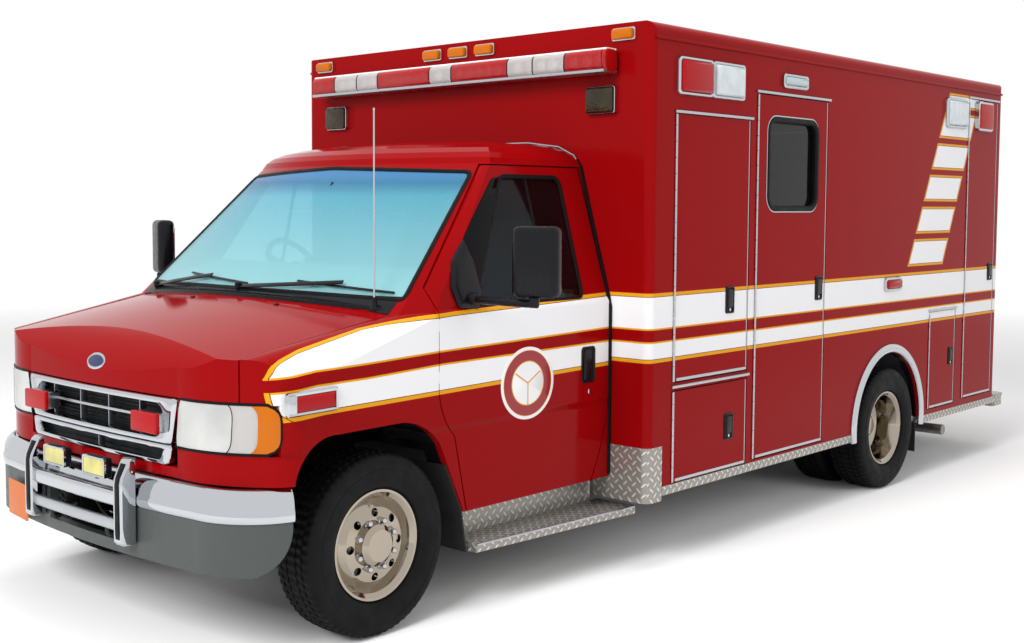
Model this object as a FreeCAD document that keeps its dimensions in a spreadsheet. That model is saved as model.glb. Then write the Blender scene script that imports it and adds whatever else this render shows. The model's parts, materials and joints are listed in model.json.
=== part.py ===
"""Ambulance: a cab chassis that carries a modular box body.

Chassis coordinates, in millimetres: X runs across the vehicle, +X being its left side; Y runs
rearwards from the front axle; Z runs up from the road. Every sub-part's Placement then moves it
by the same Y, so that the origin is the middle of the vehicle's box, on the road.
"""
import FreeCAD, Part
import Sketcher
import os

Vector = FreeCAD.Vector
Rotation = FreeCAD.Rotation

doc = FreeCAD.newDocument("ambulance")
sheet = doc.addObject("Spreadsheet::Sheet", "dims")

# ---------------------------------------------------------------- driving dimensions
# name, millimetres, what it is
DIMENSIONS = [
    ("wheelbase", 4013, "front axle to rear axle"),
    ("front_overhang", 790, "front axle to the face of the push guards"),
    ("rear_overhang", 1857, "rear axle to the rear face of the step"),
    # wheels and axles
    ("tyre_radius", 370, "tread radius, and so the axles' height"),
    ("tyre_half_width", 111.5, "half the tyre's section width"),
    ("rim_radius", 222, "rim flange"),
    ("rim_half_width", 88, "half of the rim over its flanges"),
    ("barrel_radius", 206, "rim at the tyre beads"),
    ("front_wheel_x", 881.5, "middle plane of a front wheel"),
    ("kingpin_x", 790, "steering axis"),
    ("kingpin_radius", 16, "kingpin"),
    ("spindle_radius", 24, "front stub axle"),
    ("rear_spindle_radius", 48, "rear axle end"),
    ("running_gap", 0.05, "radial clearance of a pin in its bore"),
    ("dual_inset", 241, "module side to the middle of the twin wheels"),
    ("dual_spacing", 272, "middle plane to middle plane of twin tyres"),
    # chassis frame
    ("rail_x", 430, "outside of a frame rail"),
    ("rail_bottom", 510, "rail underside"),
    ("rail_top", 690, "rail top"),
    ("rail_flange", 70, "width of the rail's flanges"),
    ("rail_gauge", 7, "rail plate"),
    # cab
    ("cab_half_width", 1000, "cab side"),
    ("cab_bottom", 428, "lower edge of the cab side"),
    ("cab_floor", 740, "cab floor"),
    ("belt", 1270, "foot of the glasshouse"),
    ("belt_x", 990, "glasshouse side at the belt"),
    ("roof_edge", 1905, "top of the glasshouse sides"),
    ("roof_x", 815, "glasshouse side at the roof edge"),
    ("roof_top", 2020, "crown of the cab roof"),
    ("cab_skin", 45, "thickness of the cab's sides, doors and roof"),
    ("glass", 6, "thickness of all glass"),
    ("nose_y", -672, "middle of the cab's front"),
    ("hood_gauge", 22, "thickness of the hood"),
    ("shut_gap", 6, "gap round every door, lid and hood"),
    ("seat_gap", 0.3, "between a hung or resting piece and what carries it"),
    ("hinge_radius", 4, "knuckle of the module doors' long hinges"),
    ("swing_room", 4, "more gap at a door's closing edge, for its inner corner"),
    ("firewall_y", 300, "front of the firewall"),
    # module
    ("module_half_width", 1219, "module side"),
    ("module_front", 1488, "module front, and so the cab's rear end"),
    ("module_tail", 1681, "rear axle to the module's rear"),
    ("module_roof", 2565, "module roof"),
    ("module_skirt", 389, "lower edge of the module sides"),
    ("module_wall", 50, "thickness of the module's walls, roof and doors"),
    ("module_floor", 780, "top of the module floor"),
    ("floor_gauge", 60, "thickness of the module floor"),
    ("corner_radius", 42, "rounded corner extrusions"),
    ("arch_radius", 430, "rear wheel arch"),
    ("arch_rise", 30, "arch centre above the rear axle"),
    ("skirt_rail", 45, "height of the rail under the module side"),
    ("locker_depth", 470, "depth of the outside lockers behind the wall"),
    ("locker_gauge", 12, "thickness of the locker linings"),
    # step, bumper and running boards
    ("bumper_bottom", 545, "underside of the bright bumper"),
    ("bumper_top", 672, "top of the bright bumper"),
    ("valance_bottom", 346, "underside of the bumper valance"),
    ("bumper_y", -735, "middle of the bumper's face"),
    ("board_top", 290, "running board tread"),
    ("board_edge", 1105, "outer edge of the running boards"),
    ("step_top", 399, "top of the rear step"),
    ("step_drop", 87, "height of the rear step"),
]

# Doors in the module's sides: each is hinged at its front edge.
# name, its datum, front edge and rear edge from that datum, bottom, top
LEFT_DOORS = [
    ("upper_locker_door", "module_front", 202, 862, 880, 2150),
    ("lower_locker_door", "module_front", 202, 862, 395, 833),
    ("side_entry_door", "module_front", 940, 1678, 405, 2290),
    ("rear_low_locker_door", "wheelbase", 567, 965, 423, 1043),
    ("rear_tall_locker_door", "wheelbase", 1107, 1592, 436, 2430),
]
RIGHT_DOORS = [
    ("right_front_locker_door", "module_front", 202, 862, 395, 2150),
    ("right_rear_locker_door", "wheelbase", 1107, 1592, 436, 2150),
]
REAR_DOORS = {"half_width": 600, "bottom": 800, "top": 2290}

for table in (LEFT_DOORS, RIGHT_DOORS):
    for door, datum, front, rear, bottom, top in table:
        DIMENSIONS += [
            (door + "_front", front, "front edge behind its datum"),
            (door + "_rear", rear, "rear edge behind its datum"),
            (door + "_bottom", bottom, "lower edge"),
            (door + "_top", top, "upper edge"),
        ]
DIMENSIONS += [("rear_door_" + side, number, "rear doors") for side, number in REAR_DOORS.items()]


class Size:
    """A length and the sheet expression that gives it, so that sums of sizes stay bound."""

    def __init__(self, value, text):
        self.value = float(value)
        self.text = text

    def __add__(self, other):
        other = sized(other)
        return Size(self.value + other.value, f"({self.text} + {other.text})")

    def __sub__(self, other):
        other = sized(other)
        return Size(self.value - other.value, f"({self.text} - {other.text})")

    def __mul__(self, number):
        return Size(self.value * number, f"({self.text} * {number})")

    def __truediv__(self, number):
        return Size(self.value / number, f"({self.text} / {number})")

    def __neg__(self):
        return Size(-self.value, f"(0 - {self.text})")

    def __radd__(self, other):
        return sized(other) + self

    def __rsub__(self, other):
        return sized(other) - self


def sized(item):
    """A Size from a Size or a plain number."""
    return item if isinstance(item, Size) else Size(item, f"({float(item)})")


class Dimensions:
    """The sheet's dimensions, each an attribute that is a Size."""

    def __init__(self, rows):
        for row, (name, number, meaning) in enumerate(rows, start=1):
            sheet.set(f"A{row}", name)
            sheet.set(f"B{row}", str(number))
            sheet.setAlias(f"B{row}", name)
            sheet.set(f"C{row}", meaning)
            setattr(self, name, Size(number, f"dims.{name}"))

    def get(self, name):
        return getattr(self, name)


D = Dimensions(DIMENSIONS)
doc.recompute()

AXLE_Y = D.front_overhang / 2 - D.wheelbase / 2 - D.rear_overhang / 2
MODULE_REAR = D.wheelbase + D.module_tail
REAR_WHEEL_X = D.module_half_width - D.dual_inset
INNER_SIDE = D.module_half_width - D.module_wall

sub_parts = []


# ---------------------------------------------------------------- building blocks
def bind(item, **sizes):
    """Set properties of an object and bind them to the sheet."""
    for name, number in sizes.items():
        number = sized(number)
        setattr(item, name, number.value)
        item.setExpression(name, number.text)


def place(item, x=0, y=0, z=0, prefix="Placement"):
    """Bind the three coordinates of a Placement or an AttachmentOffset."""
    for axis, number in (("x", x), ("y", y), ("z", z)):
        item.setExpression(f".{prefix}.Base.{axis}", sized(number).text)


def box(name, x, y, z):
    """A Part box between two corners: each argument is a (low, high) pair."""
    item = doc.addObject("Part::Box", name)
    bind(item, Length=sized(x[1]) - x[0], Width=sized(y[1]) - y[0], Height=sized(z[1]) - z[0])
    place(item, x[0], y[0], z[0])
    return item


TURNS = {
    "x": Rotation(Vector(0, 1, 0), 90),
    "y": Rotation(Vector(1, 0, 0), -90),
    "z": Rotation(),
}


def rod(name, axis, radius, length, at):
    """A Part cylinder from the point at, along +axis."""
    item = doc.addObject("Part::Cylinder", name)
    bind(item, Radius=radius, Height=length)
    item.Placement.Rotation = TURNS[axis]
    place(item, *at)
    return item


def strut(name, radius, start, end):
    """A round bar between two plain points."""
    item = doc.addObject("Part::Cylinder", name)
    start, end = Vector(*start), Vector(*end)
    item.Radius = radius
    item.Height = (end - start).Length
    item.Placement = FreeCAD.Placement(start, Rotation(Vector(0, 0, 1), end - start))
    return item


def cut(name, base, *tools):
    """The base with every tool removed."""
    item = doc.addObject("Part::Cut", name)
    item.Base = base
    item.Tool = tools[0] if len(tools) == 1 else fuse(name + "_tools", *tools)
    return item


def fuse(name, *pieces):
    """Pieces joined to one."""
    item = doc.addObject("Part::MultiFuse", name)
    item.Shapes = list(pieces)
    return item


def common(name, *pieces):
    """What all the pieces share."""
    item = doc.addObject("Part::MultiCommon", name)
    item.Shapes = list(pieces)
    return item


def mirrored(piece):
    """The piece on the other side of the vehicle."""
    item = doc.addObject("Part::Mirroring", piece.Name + "_other_side")
    item.Source = piece
    item.Normal = Vector(1, 0, 0)
    return item


def both_sides(piece):
    return [piece, mirrored(piece)]


def sub_part(label, *pieces):
    """Make pieces a sub-part: one object, or a group of solids that don't touch."""
    group = doc.addObject("Part::Compound", label)
    group.Links = list(pieces)
    group.Label = label
    place(group, y=AXLE_Y)
    sub_parts.append(group)
    return group


PLANES = {"XY": "XY_Plane", "XZ": "XZ_Plane", "YZ": "YZ_Plane"}


def sketch_in(body, name, plane, outline, offset=0):
    """A closed sketch in one of the body's own planes, bound to the sheet point by point.

    An outline is a list of corners (a, b). A corner (a, b, (c, d)) is reached from the one
    before it by an arc through (c, d).
    """
    sketch = body.newObject("Sketcher::SketchObject", name)
    origin = next(o for o in body.Origin.OriginFeatures if o.Role == PLANES[plane])
    sketch.AttachmentSupport = [(origin, "")]
    sketch.MapMode = "FlatFace"
    sketch.setExpression(".AttachmentOffset.Base.z", sized(offset).text)
    corners = [(sized(c[0]), sized(c[1])) for c in outline]
    flat = [Vector(a.value, b.value, 0) for a, b in corners]
    count = len(outline)
    ends = []
    for index in range(count):
        following = (index + 1) % count
        via = outline[following][2:]
        edge, order = edge_between(flat[index], flat[following], via)
        sketch.addGeometry(edge)
        ends.append(order)
    for index in range(count):
        following = (index + 1) % count
        sketch.addConstraint(Sketcher.Constraint(
            "Coincident", index, ends[index][1], following, ends[following][0]))
    for index, (a, b) in enumerate(corners):
        pin_point(sketch, index, ends[index][0], a, b)
    for index in range(count):
        via = outline[(index + 1) % count][2:]
        if via:
            a, b = sized(via[0][0]), sized(via[0][1])
            point = sketch.addGeometry(Part.Point(Vector(a.value, b.value, 0)), True)
            pin_point(sketch, point, 1, a, b)
            sketch.addConstraint(Sketcher.Constraint("PointOnObject", point, 1, index))
    return sketch


def edge_between(start, end, via):
    """A line, or an arc drawn anticlockwise, with its ends numbered in the outline's order."""
    if not via:
        return Part.LineSegment(start, end), (1, 2)
    middle = Vector(sized(via[0][0]).value, sized(via[0][1]).value, 0)
    if (middle - start).cross(end - start).z > 0:
        return Part.Arc(start, middle, end), (1, 2)
    return Part.Arc(end, middle, start), (2, 1)


def pin_point(sketch, geometry, end, a, b):
    """Fix a sketch point at (a, b) from the sketch's origin, bound to the sheet."""
    for kind, number in (("DistanceX", a), ("DistanceY", b)):
        if abs(number.value) < 1e-9:
            line = -2 if kind == "DistanceX" else -1
            sketch.addConstraint(Sketcher.Constraint("PointOnObject", geometry, end, line))
            continue
        index = sketch.addConstraint(
            Sketcher.Constraint(kind, -1, 1, geometry, end, number.value))
        label = f"{kind}_{geometry}_{end}"
        sketch.renameConstraint(index, label)
        sketch.setExpression("Constraints." + label, number.text)


def pad(name, plane, outline, low, high):
    """A body whose outline lies in a plane and is padded from low to high along its normal.

    XY pads along Z, YZ along X (its outline is in Y and Z), XZ along Y (outline in X and Z).
    """
    body = doc.addObject("PartDesign::Body", name)
    low, high = sized(low), sized(high)
    start = -high if plane == "XZ" else low
    sketch = sketch_in(body, name + "_outline", plane, outline, start)
    feature = body.newObject("PartDesign::Pad", name + "_pad")
    feature.Profile = sketch
    bind(feature, Length=high - low)
    body.Tip = feature
    return body


def turned(name, outline, at):
    """A body turned about an X-wise axis through the point at: outline in (x, radius)."""
    body = doc.addObject("PartDesign::Body", name)
    sketch = sketch_in(body, name + "_outline", "XZ", outline)
    feature = body.newObject("PartDesign::Revolution", name + "_turn")
    feature.Profile = sketch
    feature.ReferenceAxis = (sketch, ["H_Axis"])
    feature.Angle = 360
    body.Tip = feature
    place(body, *at)
    return body


def lofted(name, plane, sections, ruled=True):
    """A body through outlines in parallel planes: sections are (offset, outline)."""
    body = doc.addObject("PartDesign::Body", name)
    sketches = [sketch_in(body, f"{name}_section_{i}", plane, outline,
                          -sized(offset) if plane == "XZ" else offset)
                for i, (offset, outline) in enumerate(sections)]
    feature = body.newObject("PartDesign::AdditiveLoft", name + "_loft")
    feature.Profile = sketches[0]
    feature.Sections = sketches[1:]
    feature.Ruled = ruled
    body.Tip = feature
    return body


def rectangle(a, b):
    """Corners of a rectangle between two (low, high) pairs."""
    return [(a[0], b[0]), (a[1], b[0]), (a[1], b[1]), (a[0], b[1])]


def rounded(a, b, radius):
    """A rectangle with round corners between two (low, high) pairs."""
    (a0, a1), (b0, b1) = [(sized(p), sized(q)) for p, q in (a, b)]
    inset = radius * 0.29289  # how far an arc's middle lies inside its corner
    return [
        (a0 + radius, b0, (a0 + inset, b0 + inset)), (a1 - radius, b0),
        (a1, b0 + radius, (a1 - inset, b0 + inset)), (a1, b1 - radius),
        (a1 - radius, b1, (a1 - inset, b1 - inset)), (a0 + radius, b1),
        (a0, b1 - radius, (a0 + inset, b1 - inset)), (a0, b0 + radius),
    ]


# ---------------------------------------------------------------- wheels and axles
def tyre_outline(middle=0):
    """A tyre's section in (x, radius), its middle plane at x = middle."""
    middle = sized(middle)
    half = D.tyre_half_width
    seat = D.barrel_radius - 0.1
    return [
        (middle - 70, seat), (middle + 70, seat), (middle + 76, D.rim_radius + 2.5),
        (middle + 92, D.rim_radius + 8),
        (middle + half - 15.5, D.tyre_radius - 20, (middle + half, D.tyre_radius - 85)),
        (middle + half - 31.5, D.tyre_radius - 3),
        (middle - half + 31.5, D.tyre_radius - 3, (middle, D.tyre_radius)),
        (middle - half + 15.5, D.tyre_radius - 20),
        (middle - 92, D.rim_radius + 8, (middle - half, D.tyre_radius - 85)),
        (middle - 76, D.rim_radius + 2.5),
    ]


def barrel(middle, side, end):
    """Part of a rim's section from its flange at side to the disc: (x, radius) points."""
    lip = sized(middle) + D.rim_half_width * side
    flange = D.rim_radius
    seat = D.barrel_radius
    outside = [(lip, flange), (lip - 8 * side, flange), (lip - 14 * side, seat),
               (lip - 58 * side, seat - 6), (lip - 68 * side, seat - 16)]
    inside = [(lip, flange - 10), (lip - 16 * side, seat - 11), (lip - end * side, seat - 26)]
    return outside, inside


def front_wheel_outline():
    """Front rim, disc and hub in one section: the disc stands near the outer face."""
    out_top, out_under = barrel(0, 1, 44)
    in_top, in_under = barrel(0, -1, 60)
    hub = [(70, 150), (78, 112), (72, 88), (92, 84), (108, 64), (108, 0), (54, 0),
           (54, D.spindle_radius + D.running_gap), (-18, D.spindle_radius + D.running_gap),
           (-18, 70), (50, 72), (58, 110), (52, 150), (36, 178)]
    return in_under[::-1] + in_top + out_top[::-1] + out_under + hub


def front_wheel(side):
    disc = doc.addObject("PartDesign::Body", f"front_wheel_{side}_body")
    sketch = sketch_in(disc, f"front_wheel_{side}_section", "XZ", front_wheel_outline())
    turn = disc.newObject("PartDesign::Revolution", f"front_wheel_{side}_turn")
    turn.Profile = sketch
    turn.ReferenceAxis = (sketch, ["H_Axis"])
    turn.Angle = 360
    hand_holes(disc, f"front_wheel_{side}", 130, 17, 8)
    place(disc, D.front_wheel_x, 0, D.tyre_radius)
    return disc


def hand_holes(body, name, circle, radius, count):
    """Round holes through a wheel disc, evenly spaced on a circle."""
    sketch = body.newObject("Sketcher::SketchObject", name + "_hole")
    origin = next(o for o in body.Origin.OriginFeatures if o.Role == "YZ_Plane")
    sketch.AttachmentSupport = [(origin, "")]
    sketch.MapMode = "FlatFace"
    sketch.addGeometry(Part.Circle(Vector(0, circle, 0), Vector(0, 0, 1), radius))
    sketch.addConstraint(Sketcher.Constraint("PointOnObject", 0, 3, -2))
    sketch.addConstraint(Sketcher.Constraint("DistanceY", -1, 1, 0, 3, circle))
    sketch.addConstraint(Sketcher.Constraint("Radius", 0, radius))
    pocket = body.newObject("PartDesign::Pocket", name + "_hand_hole")
    pocket.Profile = sketch
    pocket.Type = "ThroughAll"
    pocket.Midplane = True
    pattern = body.newObject("PartDesign::PolarPattern", name + "_hand_holes")
    pattern.Originals = [pocket]
    pattern.Axis = (next(o for o in body.Origin.OriginFeatures if o.Role == "X_Axis"), [""])
    pattern.Angle = 360
    pattern.Occurrences = count
    body.Tip = pattern


def twin_wheel_outline():
    """Both rear rims and their hub in one section, about the plane where the discs bolt up."""
    half = D.dual_spacing / 2
    bore = D.rear_spindle_radius + D.running_gap
    outside_top, outside_under = barrel(half, 1, 64)
    inner_top, _ = barrel(half, -1, 64)
    outer_rim = [(130, 50), (110, 75), (22, 75), (22, 100), (32, 118)]
    outer_rim += [(half - 52, D.barrel_radius - 24)] + outside_under[::-1] + outside_top
    outer_rim += inner_top[::-1] + [(half - D.rim_half_width, D.rim_radius - 12)]
    web = [(half - 74, D.barrel_radius - 16), (14, 124)]
    across = [(-sized(x), r) for x, r in reversed(outer_rim[2:] + web)]
    return ([(130, 0)] + outer_rim + web + across
            + [(-60, 75), (-60, bore), (90, bore), (90, 0)])


def build_wheels():
    front = front_wheel("left")
    tyre = turned("front_tyre_body", tyre_outline(), (D.front_wheel_x, 0, D.tyre_radius))
    at = (REAR_WHEEL_X, D.wheelbase, D.tyre_radius)
    twin = turned("twin_wheel_body", twin_wheel_outline(), at)
    half = D.dual_spacing / 2
    outer = turned("twin_tyre_outer", tyre_outline(half), at)
    inner = turned("twin_tyre_inner", tyre_outline(-half), at)
    sub_part("front_wheel_left", front)
    sub_part("front_wheel_right", mirrored(front))
    sub_part("front_tyre_left", tyre)
    sub_part("front_tyre_right", mirrored(tyre))
    sub_part("rear_wheels_left", twin)
    sub_part("rear_wheels_right", mirrored(twin))
    sub_part("rear_tyres_left", outer, inner)
    sub_part("rear_tyres_right", mirrored(outer), mirrored(inner))


def build_knuckles():
    """Steering knuckle: two ears round the kingpin, an upright and the stub axle."""
    x, z = D.kingpin_x, D.tyre_radius
    upper = box("knuckle_upper_ear", (x - 40, x + 45), (-42, 42), (z + 85, z + 115))
    lower = box("knuckle_lower_ear", (x - 40, x + 45), (-42, 42), (z - 115, z - 85))
    upright = box("knuckle_upright", (x + 42, x + 66), (-50, 50), (z - 115, z + 115))
    stub = rod("knuckle_stub", "x", D.spindle_radius, D.front_wheel_x + 52 - x - 60,
               (x + 60, 0, z))
    bore = rod("knuckle_bore", "z", D.kingpin_radius + D.running_gap, 240, (x, 0, z - 120))
    knuckle = cut("knuckle", fuse("knuckle_block", upper, lower, upright, stub), bore)
    sub_part("steering_knuckle_left", knuckle)
    sub_part("steering_knuckle_right", mirrored(knuckle))


def build_front_axle():
    """A dropped beam with a boss and kingpin at each end."""
    z = D.tyre_radius
    end = D.kingpin_x
    beam = pad("front_beam", "XZ", [
        (-end, z - 30), (-end + 110, z - 35), (-560, z - 95), (560, z - 95), (end - 110, z - 35),
        (end, z - 30), (end, z + 35), (end - 130, z + 30), (530, z - 25), (-530, z - 25),
        (-end + 130, z + 30), (-end, z + 35)], -38, 38)
    boss = rod("kingpin_boss", "z", 36, 160, (end, 0, z - 80))
    pin = rod("kingpin", "z", D.kingpin_radius, 230, (end, 0, z - 115))
    sub_part("front_axle", fuse("front_axle_beam", beam, *both_sides(boss), *both_sides(pin)))


def build_rear_axle():
    """Axle tube, differential housing and spindles."""
    z = D.tyre_radius
    at = (0, D.wheelbase, z)
    end = REAR_WHEEL_X
    casing = turned("rear_axle_casing", [
        (-end - 85, 0), (-end - 85, D.rear_spindle_radius), (-end + 70, D.rear_spindle_radius),
        (-end + 70, 150), (-end + 82, 150), (-end + 82, 60), (-200, 60), (-150, 105), (-70, 165),
        (70, 165), (150, 105), (200, 60), (end - 82, 60), (end - 82, 150), (end - 70, 150),
        (end - 70, D.rear_spindle_radius), (end + 85, D.rear_spindle_radius), (end + 85, 0)], at)
    nose = rod("pinion_nose", "y", 65, 150, (0, D.wheelbase - 290, z))
    sub_part("rear_axle", fuse("rear_axle_body", casing, nose))


def build_springs():
    """Rear leaf packs with their hangers, and front coil springs on their seats."""
    z = D.tyre_radius + 60
    axle = D.wheelbase
    x0 = D.rail_x + 50
    leaves = pad("leaf_pack", "YZ", [
        (axle - 650, z + 160), (axle + 650, z + 160, (axle, z + 62)), (axle + 650, z + 145),
        (axle - 650, z + 145, (axle, z))], x0, x0 + 70)
    front_hanger = box("front_hanger", (D.rail_x, x0 + 70), (axle - 690, axle - 640),
                       (z + 130, z + 220))
    rear_hanger = box("rear_hanger", (D.rail_x, x0 + 70), (axle + 640, axle + 690),
                      (z + 130, z + 220))
    pack = fuse("leaf_spring", leaves, front_hanger, rear_hanger)
    foot = D.tyre_radius - 25 + D.seat_gap
    coil = rod("front_coil", "z", 48, D.rail_bottom + 110 - foot, (D.rail_x + 50, 0, foot))
    seat = box("coil_seat", (D.rail_x, D.rail_x + 104), (-56, 56),
               (D.rail_bottom + 100, D.rail_bottom + 170))
    sub_part("springs", *both_sides(pack), *both_sides(fuse("coil_spring", coil, seat)))


# ---------------------------------------------------------------- chassis
def build_frame():
    """Two channel rails and their cross-members."""
    x, lip, gauge = D.rail_x, D.rail_x - D.rail_flange, D.rail_gauge
    low, high = D.rail_bottom, D.rail_top
    ends = (-560, MODULE_REAR - 54)
    rail = pad("frame_rail", "XZ", [
        (lip, low), (x, low), (x, high), (lip, high), (lip, high - gauge),
        (x - gauge, high - gauge), (x - gauge, low + gauge), (lip, low + gauge)], *ends)
    places = [sized(-540), sized(1150), sized(1900), sized(2650), D.wheelbase - 520,
              D.wheelbase + 560, MODULE_REAR - 120]
    members = [box(f"cross_member_{i}", (-x + gauge, x - gauge), (y, y + 60), (low + 60, low + 130))
               for i, y in enumerate(places)]
    sub_part("chassis_frame", fuse("ladder", *both_sides(rail), *members))


def build_drive():
    """Engine and gearbox as one plain block, the propeller shaft, exhaust and tank."""
    engine = box("engine_block", (-280, 280), (-440, 230), (500, 984))
    gearbox = box("gearbox", (-160, 160), (200, 1150 - D.seat_gap), (430, 684))
    shaft_start, shaft_end, drop = 1145, D.wheelbase - 293, 95
    shaft = strut("shaft_tube", 40, (0, shaft_start, 480), (0, shaft_end.value, 480 - drop))
    length_y = shaft_end - shaft_start
    shaft.setExpression("Height", f"sqrt({length_y.text}^2 + {drop}^2)")
    shaft.setExpression(".Placement.Rotation.Angle", f"90 deg + atan({drop} / {length_y.text})")
    sub_part("drivetrain", fuse("power_unit", engine, gearbox, shaft))
    tank = box("fuel_tank_shell", (-330, 330), (MODULE_REAR - 1000, MODULE_REAR - 350), (420, 640))
    strap = box("fuel_tank_strap", (-D.rail_x + 7, D.rail_x - 7),
                (MODULE_REAR - 700, MODULE_REAR - 650), (640, 660))
    sub_part("fuel_tank", fuse("tank_with_strap", tank, strap))


def build_exhaust():
    """Silencer on its hangers and a tailpipe that leaves under the left side."""
    rear = D.wheelbase
    silencer = rod("silencer", "y", 100, 700, (250, 1700, 328))
    front_pipe = rod("front_pipe", "y", 30, 920, (260, 800, 340))
    long_pipe = rod("long_pipe", "y", 30, rear + 780 - 2350, (250, 2350, 265))
    tail = rod("tailpipe", "x", 33, D.module_half_width + 20 - 210, (210, rear + 775, 265))
    arm = box("silencer_arm", (240, D.rail_x - 30), (2000, 2030), (415, 440))
    post = box("silencer_post", (D.rail_x - 60, D.rail_x - 30), (2000, 2030), (415, D.rail_bottom))
    pipe = fuse("exhaust_pipe", silencer, front_pipe, long_pipe, tail, arm, post)
    sub_part("exhaust", pipe)


def bumper_outline(outset, depth):
    """The wrap-round plan of the bumper, outset beyond the bright face by a small amount."""
    x, y = D.cab_half_width + 3 + outset, D.bumper_y - outset
    inner_x, inner_y = x - depth, y + depth
    end = sized(-442)
    return [
        (x, end), (x - 303, y + 47, (x - 95, y + 130)),
        (-x + 303, y + 47, (0, y)), (-x, end, (-x + 95, y + 130)),
        (-inner_x, end), (-inner_x + 270, inner_y + 47, (-inner_x + 85, inner_y + 115)),
        (inner_x - 270, inner_y + 47, (0, inner_y)), (inner_x, end, (inner_x - 85, inner_y + 115)),
    ]


def build_bumpers():
    """Bright bumper, valance, push guards and the rear step."""
    bright = pad("bumper_bar", "XY", bumper_outline(0, 55), D.bumper_bottom, D.bumper_top)
    iron = box("bumper_iron", (D.rail_x - 60, D.rail_x), (D.bumper_y + 45, -560), (560, 660))
    sub_part("front_bumper", fuse("bumper_with_irons", bright, *both_sides(iron)))
    lower = pad("valance_bar", "XY", bumper_outline(-8, 40), D.valance_bottom, D.bumper_bottom)
    ends = pad("valance_end", "YZ", [
        (-350, D.valance_bottom - 6), (-350, D.bumper_bottom + 2), (-446, D.bumper_bottom + 2),
        (-590, D.valance_bottom - 6, (-497, 396))], 700, 1100)
    mouth = box("valance_mouth", (-290, 290), (-800, -600), (392, 528))
    sub_part("bumper_valance", cut("valance_trimmed", lower, *both_sides(ends), mouth))
    face = -D.front_overhang
    guard = box("push_guard", (318, 378), (face, D.bumper_y + 15), (397, 741))
    clear = pad("push_guard_back", "XY", bumper_outline(D.seat_gap, 55), D.bumper_bottom - 1,
                D.bumper_top + 1)
    upper = box("push_guard_bar", (-318, 318), (face + 14, face + 40), (600, 640))
    lower_bar = box("push_guard_lower_bar", (-318, 318), (face + 14, face + 40), (470, 500))
    posts = [cut("push_guard_post", guard, clear)]
    posts += [mirrored(posts[0])]
    sub_part("push_guards", fuse("push_guard_frame", *posts, upper, lower_bar))
    step = box("step_plate", (-D.module_half_width, D.module_half_width),
               (MODULE_REAR, D.wheelbase + D.rear_overhang), (D.step_top - D.step_drop, D.step_top))
    bracket = box("step_bracket", (D.rail_x - 60, D.rail_x), (MODULE_REAR - 54, MODULE_REAR + 30),
                  (D.step_top - 40, D.rail_bottom + 60))
    sub_part("rear_step", fuse("rear_step_body", step, *both_sides(bracket)))


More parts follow.
